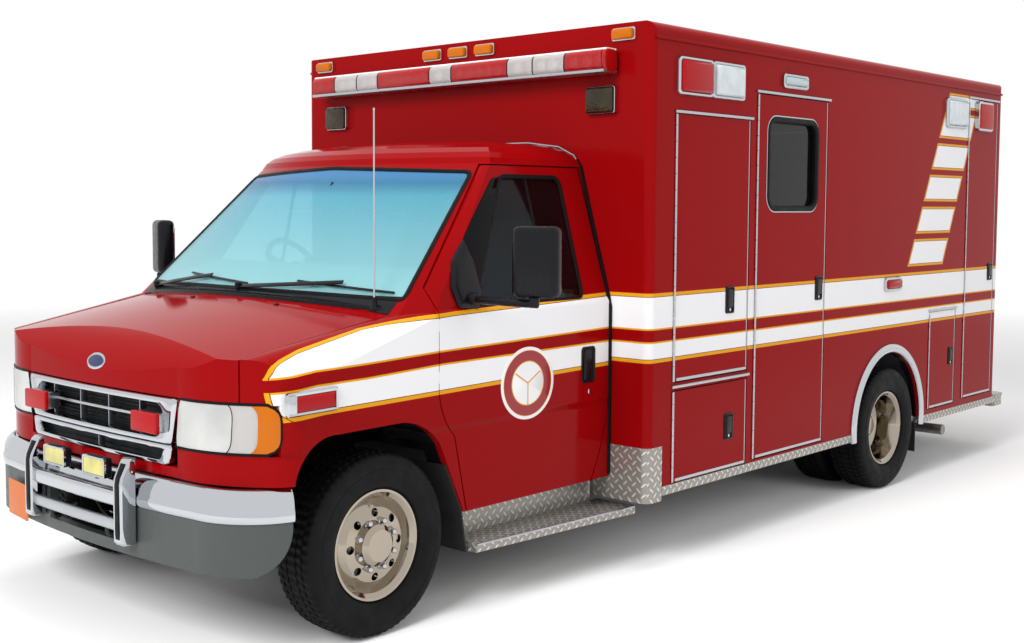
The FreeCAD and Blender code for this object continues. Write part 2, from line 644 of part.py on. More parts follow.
# ---------------------------------------------------------------- cab
class CabForms:
    """The closed forms that the cab's panels are cut from.

    An inset moves a form's surface inwards by that much, so that two of them give a skin.
    """

    # hood and fender cross-sections: y, side top, seam x, seam height, crown height
    FRONT_SECTIONS = [(-700, 960, 830, 1126, 1176), (310, 1262, 890, 1302, 1366)]
    # glasshouse sections: height, side x, side front y, pillar x, pillar y, middle y
    GLASS_SECTIONS = [(0, D.belt_x, 300, D.belt_x - 55, 150, 20),
                      (1, D.roof_x, 830, D.roof_x - 50, 800, 637)]
    # roof sections: share of the roof's rise, side inset, front setback
    ROOF_SECTIONS = [(0, 0, 0), (0.24, 14, 13), (0.46, 40, 38), (0.66, 84, 80),
                     (0.82, 145, 138), (0.94, 230, 208), (1, 340, 290)]

    @staticmethod
    def plan(name, inset=0):
        """The lower body's plan: straight sides, front corners rounded in two arcs, a bowed front."""
        x, nose = D.cab_half_width - inset, D.nose_y + inset
        rear = D.module_front
        return pad(name, "XY", [
            (x, rear), (x, nose + 282), (x - 80, nose + 147, (x - 25, nose + 202)),
            (x - 440, nose + 22, (x - 220, nose + 60)), (-x + 440, nose + 22, (0, nose)),
            (-x + 80, nose + 147, (-x + 220, nose + 60)),
            (-x, nose + 282, (-x + 25, nose + 202)), (-x, rear)], D.cab_bottom, 1500)

    @staticmethod
    def front(name, inset=0):
        """Hood and fenders: crowned sections whose nose is rounded in side view."""
        sections = []
        for y, side, seam_x, seam, crown in CabForms.FRONT_SECTIONS:
            x = D.cab_half_width - inset
            seam_x = sized(seam_x) - inset
            bulge = (x - 0.28 * (x.value - seam_x.value), seam - inset - 0.27 * (seam - side))
            sections.append((y, [
                (-x, 0), (x, 0), (x, sized(side) - inset), (seam_x, sized(seam) - inset, bulge),
                (-seam_x, sized(seam) - inset, (0, sized(crown) - inset)),
                (-x, sized(side) - inset, (-bulge[0], bulge[1]))]))
        body = lofted(name + "_sections", "XZ", sections)
        nose = D.nose_y + inset
        side_view = pad(name + "_side_view", "YZ", [
            (nose - 50, 300), (1500, 300), (1500, 1700), (nose + 230, 1700),
            (nose + 194, 1226 - inset), (nose - 10, 985 - inset, (nose + 44, 1135 - inset)),
            (nose - 50, 975 - inset)], -D.cab_half_width - 10, D.cab_half_width + 10)
        return common(name, body, side_view, CabForms.plan(name + "_plan", inset))

    @staticmethod
    def rear(name, inset=0):
        """Cab sides behind the hood, up to the belt."""
        x = D.cab_half_width - inset
        shoulder = D.belt + 20
        return pad(name, "XZ", [
            (-x, D.cab_bottom), (x, D.cab_bottom), (x, shoulder - 40),
            (x - 14, shoulder, (x - 3, shoulder - 16)),
            (-x + 14, shoulder), (-x, shoulder - 40, (-x + 3, shoulder - 16))],
            305, D.module_front)

    @staticmethod
    def glass_section(row, inset, rear):
        """One plan outline of the glasshouse: flat sides, pillar facets and a bowed front."""
        _, side_x, side_y, pillar_x, pillar_y, middle_y = row
        side, pillar = side_x - inset, pillar_x - inset
        return [(side, rear), (side, side_y + sized(inset)), (pillar, pillar_y + sized(inset)),
                (-pillar, pillar_y + sized(inset), (0, middle_y + sized(inset))),
                (-side, side_y + sized(inset)), (-side, rear)]

    @staticmethod
    def glasshouse(name, inset=0, rear=0):
        """The sides and windscreen, ruled from the belt to the roof edge, and the roof."""
        back = D.module_front + rear
        foot = D.belt - (5 if rear else 0)
        sides = lofted(name + "_sides", "XY", [
            (z, CabForms.glass_section(row, inset, back))
            for z, row in zip((foot, D.roof_edge), CabForms.GLASS_SECTIONS)])
        top_row = CabForms.GLASS_SECTIONS[1]
        rise = D.roof_top - D.roof_edge - (inset if rear else 0)
        sections = []
        for share, narrower, setback in CabForms.ROOF_SECTIONS:
            row = (0, top_row[1] - narrower, top_row[2] + setback, top_row[3] - narrower,
                   top_row[4] + setback, top_row[5] + setback * 1.1)
            sections.append((D.roof_edge + rise * share,
                             CabForms.glass_section(row, inset, back)))
        return fuse(name, sides, lofted(name + "_roof", "XY", sections))


def door_outline(grow=0, swing=0):
    """The cab door in side view: cut back round the wheel arch, raked along the pillar.

    Swing widens the top of the rear edge, where the leaning door turns past the opening.
    """
    g = grow
    rear = D.module_front - 16
    return [
        (490 - g, D.cab_bottom - g), (rear - 134 + g, D.cab_bottom - g),
        (rear + g, 1000, (rear - 36 + g, 650)), (rear + g, 1300), (rear - 24 + g + swing, 1895 + g),
        (806 - g, 1895 + g), (306 - g, 1372 + g), (324 - g, 1281), (324 - g, 948),
        (415 - g, 758, (352 - g, 845))]


def door_window(shrink=0):
    """The door's window in side view."""
    s = shrink
    rear = D.module_front - 198
    return [
        (560 + s, 1290 + s), (rear - 40, 1290 + s), (rear - s, 1330, (rear - 12 - s, 1302 + s)),
        (rear - s, 1800), (rear - 45, 1845 - s, (rear - 13 - s, 1832 - s)),
        (900, 1845 - s), (858 + s, 1826, (876 + s, 1840 - s)), (548 + s, 1310 + s)]


def windscreen(shrink=0):
    """The windscreen in front view."""
    s = shrink
    return [
        (-880, 1328 + s), (880, 1328 + s, (0, 1346 + s)), (910 - s, 1345, (902 - s, 1333 + s)),
        (784 - s, 1815), (735, 1868 - s, (772 - s, 1855 - s)), (-735, 1868 - s, (0, 1893 - s)),
        (-784 + s, 1815, (-772 + s, 1855 - s)), (-910 + s, 1345),
        (-880, 1328 + s, (-902 + s, 1333 + s))][1:]


def hood_plan(grow=0):
    """The hood in plan: wider at the cowl, with a bowed rear edge."""
    g = grow
    return [(-830 - g, -900), (830 + g, -900), (880 + g, 150 + g),
            (-880 - g, 150 + g, (0, 15 + g))]


def cowl_plan(shrink):
    """The crescent between the hood and the windscreen, out to the pillars."""
    s = shrink
    return [(-886 + s, 158 + s), (886 - s, 158 + s, (0, 23 + s)), (900 - s, 182 - s),
            (-900 + s, 182 - s, (0, 70 - s))]


ARCH = [(-445, 250), (-432, 640), (-230, 846, (-385, 785)), (100, 850), (330, 730, (232, 815)),
        (470, 428), (500, 250)]


def lamp_box(name, grow=0):
    """The space of a headlamp in the nose, wrapping round the corner."""
    g = grow
    return box(name, (572 - g, 1100), (-800, -480 + g), (790 - g, 980 + g))


def build_cab():
    """Cab body, hood, doors, glass and cowl, all cut from the same forms."""
    skin = D.cab_skin
    inside = D.cab_half_width - skin
    front = CabForms.front("front_form")
    body = fuse("cab_form", front, CabForms.rear("rear_form"), CabForms.glasshouse("glass_form"))
    cavity_top = CabForms.glasshouse("glass_cavity", skin, 10)
    cabin = box("cabin", (-inside, inside), (D.firewall_y + skin, D.module_front + 10),
                (D.cab_floor, D.belt + 20))
    dash_space = box("dash_space", (-inside, inside), (190, 400), (D.belt + 20, 1500))
    under = box("under_floor", (-880, 880), (250, D.module_front + 10), (0, D.rail_top))
    bay = box("engine_bay", (-540, 540), (-590, D.firewall_y), (0, 990))
    bay_top = box("engine_bay_top", (-780, 780), (-560, 120), (880, 990))
    above = pad("hood_opening", "XY", hood_plan(D.shut_gap), 985 - D.shut_gap, 1500)
    chin = box("chin", (-1100, 1100), (-800, -396), (0, D.bumper_top + 4))
    arch = pad("front_arch", "YZ", ARCH, 555, 1100)
    doorway = cut("doorway", pad("doorway_prism", "YZ", door_outline(D.shut_gap, 16), 600, 1100),
                  box("doorway_sill", (590, inside - D.shut_gap), (200, 1600), (300, D.belt - 1)))
    screen = pad("screen_opening", "XZ", windscreen(), -50, 1000)
    mouth = box("grille_opening", (-556, 556), (-800, -580), (716, 958))
    lamp_pocket = lamp_box("lamp_pocket", D.seat_gap)
    cowl_recess = pad("cowl_recess", "XY", cowl_plan(0), D.belt + 20, 1500)
    cowl_keep = CabForms.glasshouse("cowl_keep")
    shell = cut("cab_shell", body, cabin, common("cavity", cavity_top, body), under, bay,
                bay_top, above, chin, *both_sides(arch), *both_sides(doorway), screen, mouth,
                *both_sides(lamp_pocket), cut("cowl_cut", cowl_recess, cowl_keep))
    base = box("seat_base", (-640, -220), (800, 1230), (D.cab_floor - 5, 950))
    stop = common("hood_stop", rod("hood_stop_post", "z", 13, 400, (808, 20, 975)),
                  CabForms.front("hood_stop_form", D.hood_gauge + D.seat_gap))
    sub_part("cab_body", fuse("cab_with_seat_bases", shell, *both_sides(base),
                              *both_sides(stop)))
    build_hood()
    build_cab_doors(inside)
    build_glass()
    cowl = common("cowl_panel", pad("cowl_prism", "XY", cowl_plan(1), D.belt + 20, 1480),
                  CabForms.front("cowl_form", -14))
    foot = rod("aerial_foot", "z", 9, 50, (800, 143, D.belt + 21))
    mast = rod("aerial_mast", "z", 3, 800, (800, 143, D.belt + 40))
    sub_part("cowl", cut("cowl_trimmed", fuse("cowl_with_aerial", cowl, foot, mast),
                         CabForms.glasshouse("cowl_trim", -D.seat_gap)))


def build_hood():
    """The hood's skin, rounded down over the nose."""
    outer = common("hood_outer", pad("hood_prism", "XY", hood_plan(), 985, 1500),
                   CabForms.front("hood_form"))
    sub_part("hood", cut("hood_skin", outer, CabForms.front("hood_under", D.hood_gauge)))


def build_cab_doors(inside):
    """Doors cut from the cab's skin, with their glass and mirrors."""
    skin = fuse("door_form", CabForms.front("door_front"), CabForms.rear("door_rear"),
                CabForms.glasshouse("door_glass"))
    hollow = fuse("door_hollow", box("door_inside", (-inside, inside), (200, 1600), (300, D.belt + 5)),
                  CabForms.glasshouse("door_cavity", D.cab_skin, 10))
    window = pad("door_window", "YZ", door_window(), 600, 1100)
    prism = pad("door_prism", "YZ", door_outline(), 600, 1100)
    door = cut("cab_door_panel", common("door_blank", prism, skin), hollow, window)
    knuckles = []
    for i, z in enumerate((985, 1200)):
        at_x, at_y = D.cab_half_width - 3, 324 - D.shut_gap / 2
        knuckles.append(rod(f"cab_knuckle_{i}", "z", 2.7, 50, (at_x, at_y, z)))
        knuckles.append(box(f"cab_knuckle_web_{i}", (at_x - 2, at_x + 2), (at_y, 325),
                            (z, z + 50)))
    door = fuse("cab_door", door, *knuckles)
    sub_part("cab_door_left", door)
    sub_part("cab_door_right", mirrored(door))
    pane = cut("door_pane", common(
        "door_pane_blank", pad("door_pane_prism", "YZ", door_window(0.4), 600, 1100),
        CabForms.glasshouse("door_pane_outer", 10)),
        CabForms.glasshouse("door_pane_inner", 10 + D.glass, 10))
    sub_part("cab_window_left", pane)
    sub_part("cab_window_right", mirrored(pane))
    mirror = build_mirror()
    sub_part("mirror_left", mirror)
    sub_part("mirror_right", mirrored(mirror))


def build_mirror():
    """Mirror head on a tubular arm, carried by a plate in the window's front corner."""
    plate = cut("mirror_plate", common(
        "mirror_plate_blank",
        pad("mirror_plate_prism", "YZ", [(430, 1296), (640, 1296), (560, 1400), (480, 1440)],
            600, 1100),
        CabForms.glasshouse("mirror_plate_outer", -14)),
        CabForms.glasshouse("mirror_plate_inner", -D.seat_gap))
    arm = rod("mirror_arm", "x", 14, 366, (984, 520, 1322))
    neck = rod("mirror_neck", "z", 14, 60, (1330, 528, 1312))
    head = pad("mirror_head", "XY", rounded((-100, 100), (-45, 45), 42), 1345, 1635)
    head.Placement = FreeCAD.Placement(Vector(1330, 545, 0), Rotation(Vector(0, 0, 1), 22))
    return fuse("mirror", plate, arm, neck, head)


def build_glass():
    """The windscreen: a slice of the glasshouse, as thick as the glass."""
    pane = cut("screen_pane", common(
        "screen_blank", pad("screen_prism", "XZ", windscreen(0.4), -50, 1000),
        CabForms.glasshouse("screen_outer", 1)),
        CabForms.glasshouse("screen_inner", 1 + D.glass, 10))
    sub_part("windscreen", pane)


def build_cab_fittings():
    """Dashboard, seats, column and wheel, running boards and aerial."""
    back = D.firewall_y + D.cab_skin + D.seat_gap
    dash = pad("dash_section", "YZ", [
        (262, D.belt + 20 + D.seat_gap), (262, 1345), (520, 1440), (600, 1430), (640, 1360),
        (610, 1150), (560, 1000), (back, 1000), (back, D.belt + 20 + D.seat_gap)], -855, 855)
    column = doc.addObject("Part::Cylinder", "column_tube")
    column.Radius = 28
    column.Height = 113.1
    column.Placement = FreeCAD.Placement(Vector(-400, 600, 1302), Rotation(Vector(1, 0, 0), -60))
    sub_part("dashboard", fuse("dash_with_column", dash, column))
    sub_part("steering_wheel", steering_wheel())
    foot = 950 + D.seat_gap
    seat = pad("seat_side", "YZ", [
        (760, foot), (1180, foot), (1330, 962), (1400, 1560), (1385, 1720), (1300, 1730),
        (1290, 1570), (1200, 1085), (770, 1085)], -690, -180)
    sub_part("cab_seats", *both_sides(seat))
    board = pad("running_board", "XY", [
        (880, 510), (1034, 510), (D.board_edge, D.module_front + 68),
        (880, D.module_front + 68)], D.board_top - 42, D.board_top)
    riser = box("board_riser", (882, 890), (515, D.module_front - 6), (D.board_top - 10, D.cab_bottom))
    sub_part("running_boards", *both_sides(fuse("board_with_riser", board, riser)))


def steering_wheel():
    """Rim, three spokes and hub, turned towards the driver."""
    rim = doc.addObject("Part::Torus", "wheel_rim")
    rim.Radius1 = 195
    rim.Radius2 = 14
    hub = doc.addObject("Part::Cylinder", "wheel_hub")
    hub.Radius = 60
    hub.Height = 50
    hub.Placement.Base = Vector(0, 0, -25)
    spokes = []
    for angle in (0, 120, 240):
        spoke = doc.addObject("Part::Box", f"spoke_{angle}")
        spoke.Length, spoke.Width, spoke.Height = 190, 36, 14
        turn = Rotation(Vector(0, 0, 1), angle + 90)
        spoke.Placement = FreeCAD.Placement(turn.multVec(Vector(0, -18, -7)), turn)
        spokes.append(spoke)
    wheel = fuse("wheel_body", rim, hub, *spokes)
    wheel.Placement = FreeCAD.Placement(Vector(-400, 720, 1371), Rotation(Vector(1, 0, 0), -60))
    return wheel


# ---------------------------------------------------------------- module
def spans(rows):
    """Each door's name and its edges: front, rear, bottom, top."""
    found = []
    for name, datum, *_ in rows:
        start = D.get(datum)
        found.append((name, start + D.get(name + "_front"), start + D.get(name + "_rear"),
                      D.get(name + "_bottom"), D.get(name + "_top")))
    return found


def span_of(rows, wanted):
    return next(row[1:] for row in spans(rows) if row[0] == wanted)


def module_side(name, rows):
    """One side wall: round outer edges, with its doorways and wheel arch cut."""
    wall = pad(name + "_slab", "YZ", rectangle(
        (D.module_front, MODULE_REAR), (D.module_skirt, D.module_roof)), INNER_SIDE,
        D.module_half_width)
    doc.recompute()
    slab = wall.Tip
    feature = wall.newObject("PartDesign::Fillet", name + "_corners")
    feature.Base = (slab, corner_edges(slab.Shape))
    bind(feature, Radius=D.corner_radius)
    wall.Tip = feature
    gap = D.shut_gap
    openings = [pad(f"{door}_way", "YZ", rectangle((front_y - gap, rear_y + gap + D.swing_room),
                                                   (low - gap, high + gap)),
                    INNER_SIDE - 10, D.module_half_width + 10)
                for door, front_y, rear_y, low, high in spans(rows)]
    arch = rod(name + "_arch", "x", D.arch_radius, D.module_wall + 20,
               (INNER_SIDE - 10, D.wheelbase, D.tyre_radius + D.arch_rise))
    skirt = box(name + "_arch_foot", (INNER_SIDE - 10, D.module_half_width + 10),
                (D.wheelbase - D.arch_radius, D.wheelbase + D.arch_radius),
                (D.module_skirt - 10, D.tyre_radius + D.arch_rise))
    return cut(name, wall, arch, skirt, *openings)


def corner_edges(shape):
    """The outer edges of a side wall along its roof, its front and its rear."""
    planes = ((2, D.module_roof.value), (1, D.module_front.value), (1, MODULE_REAR.value))
    names = []
    for number, edge in enumerate(shape.Edges, start=1):
        ends = [vertex.Point for vertex in edge.Vertexes]
        outside = all(abs(p.x - D.module_half_width.value) < 0.1 for p in ends)
        if outside and any(all(abs(p[axis] - at) < 0.1 for p in ends) for axis, at in planes):
            names.append(f"Edge{number}")
    return names


ENTRY_WINDOW = {"front": 117, "rear": 617, "bottom": 1712, "top": 2162, "corner": 60}


def entry_window(name, grow, low, high):
    """The side entry door's window as a padded form."""
    front, _, _, _ = span_of(LEFT_DOORS, "side_entry_door")
    w = ENTRY_WINDOW
    return pad(name, "YZ", rounded((front + w["front"] - grow, front + w["rear"] + grow),
                                   (w["bottom"] - grow, w["top"] + grow), w["corner"]), low, high)


def build_module_shell():
    """Side walls, front wall, roof, floor and rear frame."""
    half, wall, gap = D.module_half_width, D.module_wall, D.shut_gap
    front, rear = D.module_front, MODULE_REAR
    sub_part("module_left_wall", module_side("left_wall", LEFT_DOORS))
    sub_part("module_right_wall", mirrored(module_side("right_wall", RIGHT_DOORS)))
    bulkhead = pad("bulkhead", "XZ", [
        (-INNER_SIDE, D.module_skirt), (-600, D.module_skirt), (-600, D.rail_top + 30),
        (600, D.rail_top + 30), (600, D.module_skirt), (INNER_SIDE, D.module_skirt),
        (INNER_SIDE, D.module_roof), (-INNER_SIDE, D.module_roof)], front, front + wall)
    hatch = pad("bulkhead_hatch", "XZ", rounded((-300, 300), (1250, 1800), 60), front - 10,
                front + wall + 10)
    sub_part("module_front_wall", cut("front_wall", bulkhead, hatch))
    roof = box("roof_slab", (-INNER_SIDE, INNER_SIDE), (front + wall, rear - wall),
               (D.module_roof - wall, D.module_roof))
    sub_part("module_roof", roof)
    frame = pad("rear_frame_slab", "XZ", rectangle(
        (-INNER_SIDE, INNER_SIDE), (D.rail_bottom + 70, D.module_roof)), rear - wall, rear)
    way = box("rear_doorway", (-D.rear_door_half_width - gap, D.rear_door_half_width + gap),
              (rear - wall - 10, rear + 10), (D.rear_door_bottom - gap, D.rear_door_top + gap))
    sub_part("module_rear_frame", cut("rear_frame", frame, way))
    build_floor(front + wall, rear - wall)


def build_floor(front, rear):
    """The floor on its sills, notched for the wheels, the lockers and the entry step."""
    top, low = D.module_floor, D.module_floor - D.floor_gauge
    slab = box("floor_slab", (-INNER_SIDE, INNER_SIDE), (front, rear), (low, top))
    sill = box("floor_sill", (D.rail_x - 60, D.rail_x), (front, rear), (D.rail_top, low))
    wheels = box("floor_wheel_notch", (REAR_WHEEL_X - 278, INNER_SIDE + 10),
                 (D.wheelbase - D.arch_radius - 20, D.wheelbase + D.arch_radius + 20),
                 (low - 10, top + 10))
    notches = both_sides(wheels)
    depth = D.locker_depth
    for rows, name, inner in ((LEFT_DOORS, "upper_locker_door", depth),
                              (LEFT_DOORS, "rear_low_locker_door", depth),
                              (LEFT_DOORS, "rear_tall_locker_door", depth),
                              (LEFT_DOORS, "side_entry_door", depth - 120)):
        start, end, _, _ = span_of(rows, name)
        notches.append(box(name + "_notch", (INNER_SIDE - inner, INNER_SIDE + 10),
                           (start - 20, end + 20), (low - 10, top + 10)))
    for name in ("right_front_locker_door", "right_rear_locker_door"):
        start, end, _, _ = span_of(RIGHT_DOORS, name)
        notches.append(box(name + "_notch", (-INNER_SIDE - 10, -INNER_SIDE + depth),
                           (start - 20, end + 20), (low - 10, top + 10)))
    floor = fuse("floor_with_sills", slab, *both_sides(sill))
    sub_part("module_floor", cut("floor", floor, *notches))


def lining(name, start, end, low, high, depth, open_top=False):
    """A locker's lining: a box open towards the door."""
    gauge = D.locker_gauge
    outer = box(name + "_outer", (INNER_SIDE - depth, INNER_SIDE), (start - 20, end + 20),
                (low - 18, high + 18))
    top = high + 30 if open_top else high + 18 - gauge
    inner = box(name + "_inner", (INNER_SIDE - depth + gauge, INNER_SIDE + 1),
                (start - 20 + gauge, end + 20 - gauge), (low - 18 + gauge, top))
    return cut(name, outer, inner)


def build_linings():
    """Lockers on both sides, the entry step and the wheel boxes."""
    depth, gauge = D.locker_depth, D.locker_gauge
    left = []
    start, end, _, high = span_of(LEFT_DOORS, "upper_locker_door")
    _, _, low, split = span_of(LEFT_DOORS, "lower_locker_door")
    shelf = box("locker_shelf", (INNER_SIDE - depth + 1, INNER_SIDE), (start - 19, end + 19),
                (split + 18, split + 18 + gauge))
    left.append(fuse("front_locker", lining("front_lining", start, end, low, high, depth), shelf))
    for name in ("rear_low_locker_door", "rear_tall_locker_door"):
        left.append(lining(name + "_lining", *span_of(LEFT_DOORS, name), depth))
    right = [mirrored(lining(name + "_lining", *span_of(RIGHT_DOORS, name), depth))
             for name in ("right_front_locker_door", "right_rear_locker_door")]
    start, end, low, _ = span_of(LEFT_DOORS, "side_entry_door")
    well = lining("entry_well", start, end, low, D.module_floor - 18, depth - 120, open_top=True)
    reach = D.arch_radius + 20
    y, x, top = D.wheelbase, REAR_WHEEL_X - 278, D.tyre_radius + D.arch_rise + D.arch_radius + 40
    house = cut("wheel_house",
                box("wheel_house_outer", (x, INNER_SIDE), (y - reach, y + reach),
                    (D.module_floor - D.floor_gauge, top)),
                box("wheel_house_inner", (x + gauge, INNER_SIDE + 1),
                    (y - reach + gauge, y + reach - gauge), (600, top - gauge)))
    sub_part("module_linings", *left, *right, well, *both_sides(house))


def rear_window(name, shrink, low, high):
    """The window of a rear door as a padded form."""
    left, right = sized(110) + shrink, D.rear_door_half_width - 110 - shrink
    return pad(name, "XZ", rounded((left, right), (1480 + shrink, 2080 - shrink), 60), low, high)


def build_module_doors():
    """Slab doors, flush in their openings."""
    for rows, side in ((LEFT_DOORS, 1), (RIGHT_DOORS, -1)):
        for name, start, end, low, high in spans(rows):
            slab = pad(name + "_slab", "YZ", rectangle((start, end), (low, high)), INNER_SIDE,
                       D.module_half_width)
            half, knuckle = D.module_half_width, D.hinge_radius
            hinge = fuse(
                name + "_hinge",
                rod(name + "_knuckle", "z", knuckle, high - low,
                    (half + knuckle + D.seat_gap, start - D.shut_gap, low)),
                box(name + "_leaf", (half, half + 2), (start - D.shut_gap, start + 24),
                    (low, high)))
            extra = [rear_door_lamp("left_rear_lamp")] if name == "rear_tall_locker_door" else []
            slab = fuse(name + "_with_hinge", slab, hinge, *extra)
            if name == "side_entry_door":
                slab = cut(name + "_cut", slab, entry_window(
                    "entry_window_way", 0, INNER_SIDE - 10, D.module_half_width + 10))
            sub_part(name, slab if side > 0 else mirrored(slab))
    middle = D.module_half_width - D.module_wall / 2
    sub_part("side_entry_window", entry_window(
        "entry_pane", -D.seat_gap, middle - D.glass / 2, middle + D.glass / 2))
    width, gap = D.rear_door_half_width, D.shut_gap
    rear, wall = MODULE_REAR, D.module_wall
    leaf = pad("rear_leaf", "XZ", rectangle((gap, width), (D.rear_door_bottom, D.rear_door_top)),
               rear - wall, rear)
    way = rear_window("rear_window_way", 0, rear - wall - 10, rear + 10)
    pane = rear_window("rear_pane", D.seat_gap, rear - wall / 2, rear - wall / 2 + D.glass)
    sub_part("rear_window_left", pane)
    sub_part("rear_window_right", mirrored(pane))
    knuckle = D.hinge_radius
    pin = rod("rear_knuckle", "z", knuckle, D.rear_door_top - D.rear_door_bottom,
              (width + gap, rear + knuckle + D.seat_gap, D.rear_door_bottom))
    plate = box("rear_leaf_plate", (width - 24, width + gap), (rear, rear + 2),
                (D.rear_door_bottom, D.rear_door_top))
    door = fuse("rear_door", cut("rear_door_panel", leaf, way), pin, plate)
    sub_part("rear_door_left", door)
    sub_part("rear_door_right", mirrored(door))


# ---------------------------------------------------------------- trim and lamps
def build_skirts():
    """Tread-plate rails under the sides, corner guards and arch trims."""
    half, rail = D.module_half_width, D.skirt_rail
    arch, y = D.arch_radius + 26, D.wheelbase
    low, high = D.module_skirt - rail, D.module_skirt
    front = box("skirt_front", (INNER_SIDE, half + 4), (D.module_front + 130, y - arch - 1),
                (low, high))
    rear = box("skirt_rear", (INNER_SIDE, half + 4), (y + arch + 1, MODULE_REAR), (low, high))
    guard = fuse("corner_guard",
                 box("guard_side", (half, half + 4), (D.module_front - 4, D.module_front + 120),
                     (317, 567)),
                 box("guard_front", (1010, half + 4), (D.module_front - 4, D.module_front),
                     (317, 567)))
    z = D.tyre_radius + D.arch_rise
    ring = rod("arch_ring", "x", arch, 24, (half, y, z))
    bore = rod("arch_ring_bore", "x", D.arch_radius, 44, (half - 10, y, z))
    below = box("arch_ring_below", (half - 10, half + 40), (y - arch - 10, y + arch + 10), (-100, low))
    trims = [front, rear, guard, cut("arch_trim", ring, bore, below)]
    sub_part("skirt_trim", *[s for piece in trims for s in both_sides(piece)])


def rear_door_lamp(name):
    """The rearmost warning lamp of a side, which on the left stands on the tall locker door."""
    start, low = D.wheelbase + 1195, 2227
    half = D.module_half_width
    return pad(name, "YZ", rounded((start, start + 238), (low, low + 191), 22), half, half + 34)


def build_lamps():
    """Light bar, floods, markers and side, rear, grille and fog lamps."""
    face = D.module_front
    bar = pad("light_bar_body", "YZ", rounded((face - 125, face - 20), (2332, 2447), 18),
              -1042, 1042)
    feet = [box(f"light_bar_foot_{i}", (x, x + 60), (face - 60, face), (2345, 2385))
            for i, x in enumerate((-900, -30, 840))]
    sub_part("light_bar", fuse("light_bar_fixed", bar, *feet))
    flood = box("flood_lamp", (860, 1026), (face - 42, face), (2150, 2276))
    marker = [box(f"marker_{i}", (x - 45, x + 45), (face - 30, face), (2492, 2532))
              for i, x in enumerate((-1080, -180, 0, 180, 1080))]
    half = D.module_half_width
    rear = D.wheelbase
    # y from its datum, width, bottom, height, how far the lamp stands out
    lamps = [(face, 196, 292, 2238, 182, 34), (face, 488, 291, 2238, 182, 34),
             (face, 1170, 259, 2336, 76, 30), (rear, 725, 317, 2227, 191, 34),
             (rear, -99, 224, 1208, 83, 26)]
    side = [pad(f"side_lamp_{i}", "YZ", rounded((datum + y, datum + y + wide), (z, z + tall), 22),
                half, half + out)
            for i, (datum, y, wide, z, tall, out) in enumerate(lamps)]
    on_wall = [s for lamp in side for s in both_sides(lamp)]
    on_wall.append(mirrored(rear_door_lamp("right_rear_lamp")))
    back = MODULE_REAR
    # x, bottom, width, height
    tails = [(760, 1150, 180, 110), (760, 1275, 180, 110), (760, 1400, 180, 110),
             (960, 2260, 180, 180), (740, 2260, 180, 180)]
    tail = [pad(f"tail_lamp_{i}", "XZ", rounded((x, x + w), (z, z + t), 20), back, back + 30)
            for i, (x, z, w, t) in enumerate(tails)]
    on_wall += [s for lamp in tail for s in both_sides(lamp)]
    sub_part("module_lamps", *both_sides(flood), *marker, *on_wall)


def build_front_trim():
    """Grille, grille and fog lamps, and mud flaps."""
    y = D.nose_y
    frame = pad("grille_frame", "XZ", [(-466, 722), (466, 722), (552, 952), (-552, 952)],
                y + 20, y + 60)
    # opening's half width at its foot and head, foot and head heights
    holes = [(400, 440, 752, 800), (450, 505, 815, 925)]
    openings = [pad(f"grille_hole_{i}", "XZ", [(-a, low), (a, low), (b, high), (-b, high)],
                    y + 10, y + 70) for i, (a, b, low, high) in enumerate(holes)]
    bars = [box(f"grille_bar_{i}", (-490, 490), (y + 26, y + 54), (z, z + 12))
            for i, z in enumerate((864,))]
    bars += [box(f"grille_rib_{i}", (x - 6, x + 6), (y + 26, y + 54), (810, 930))
             for i, x in enumerate((-300, -150, 0, 150, 300))]
    ends = box("grille_end", (545, 556 - D.seat_gap), (y + 30, y + 60), (800, 940))
    sub_part("grille", fuse("grille_body", cut("grille_cut", frame, *openings), *bars,
                            *both_sides(ends)))
    lamp = box("grille_lamp", (310, 497), (y - 16, y + 20 - D.seat_gap), (837, 933))
    fog = box("fog_lamp", (72, 236), (-D.front_overhang + 14, -D.front_overhang + 52),
              (640 + D.seat_gap, 722))
    head = common("headlamp_block", lamp_box("headlamp_box"), CabForms.front("lamp_form", 3))
    sub_part("front_lamps", *both_sides(head), *both_sides(lamp), *both_sides(fog))
    (mid_y, mid_z), (low_y, low_z) = ARCH[-2:]
    near, far = D.seat_gap, D.seat_gap + 8
    flap = pad("front_splash_guard", "YZ", [
        (mid_y - far, mid_z), (low_y - far, low_z), (low_y - near, low_z), (mid_y - near, mid_z),
        (sized(371.7) - near, 640), (sized(371.7) - far, 640)], 700, 990)
    rear_flap = box("rear_mud_flap", (760, 1190), (D.wheelbase + D.arch_radius + 26,
                                                   D.wheelbase + D.arch_radius + 34), (160, 344))
    sub_part("mud_flaps", *both_sides(flap), *both_sides(rear_flap))


# ---------------------------------------------------------------- assembly
build_wheels()
build_knuckles()
build_front_axle()
build_rear_axle()
build_springs()
build_frame()
build_drive()
build_exhaust()
build_bumpers()
build_cab()
build_cab_fittings()
build_module_shell()
build_linings()
build_module_doors()
build_skirts()
build_lamps()
build_front_trim()


def check_and_export():
    """Stop on any failed object, then write each sub-part."""
    doc.recompute()
    failed = [o.Name for o in doc.Objects if {"Invalid", "Error"} & set(o.State)]
    if failed:
        raise RuntimeError("failed objects: " + ", ".join(failed))
    os.makedirs("parts", exist_ok=True)
    for item in sub_parts:
        shape = item.Shape
        if shape.isNull() or not shape.isValid():
            raise RuntimeError("bad shape: " + item.Label)
        shape.exportStep(f"parts/{item.Label}.step")


check_and_export()
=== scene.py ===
"""The looks of a modular ambulance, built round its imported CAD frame.

Each sub-assembly is a class that holds its sizes and builds its own pieces. Every length is in
metres, in the row frame: +Z up, the hood towards -Y, the side with the entry door at +X.
"""

import json
import logging
import math
from dataclasses import dataclass, field
from enum import Enum

import bmesh
import bpy
import numpy as np
from mathutils import Matrix, Vector

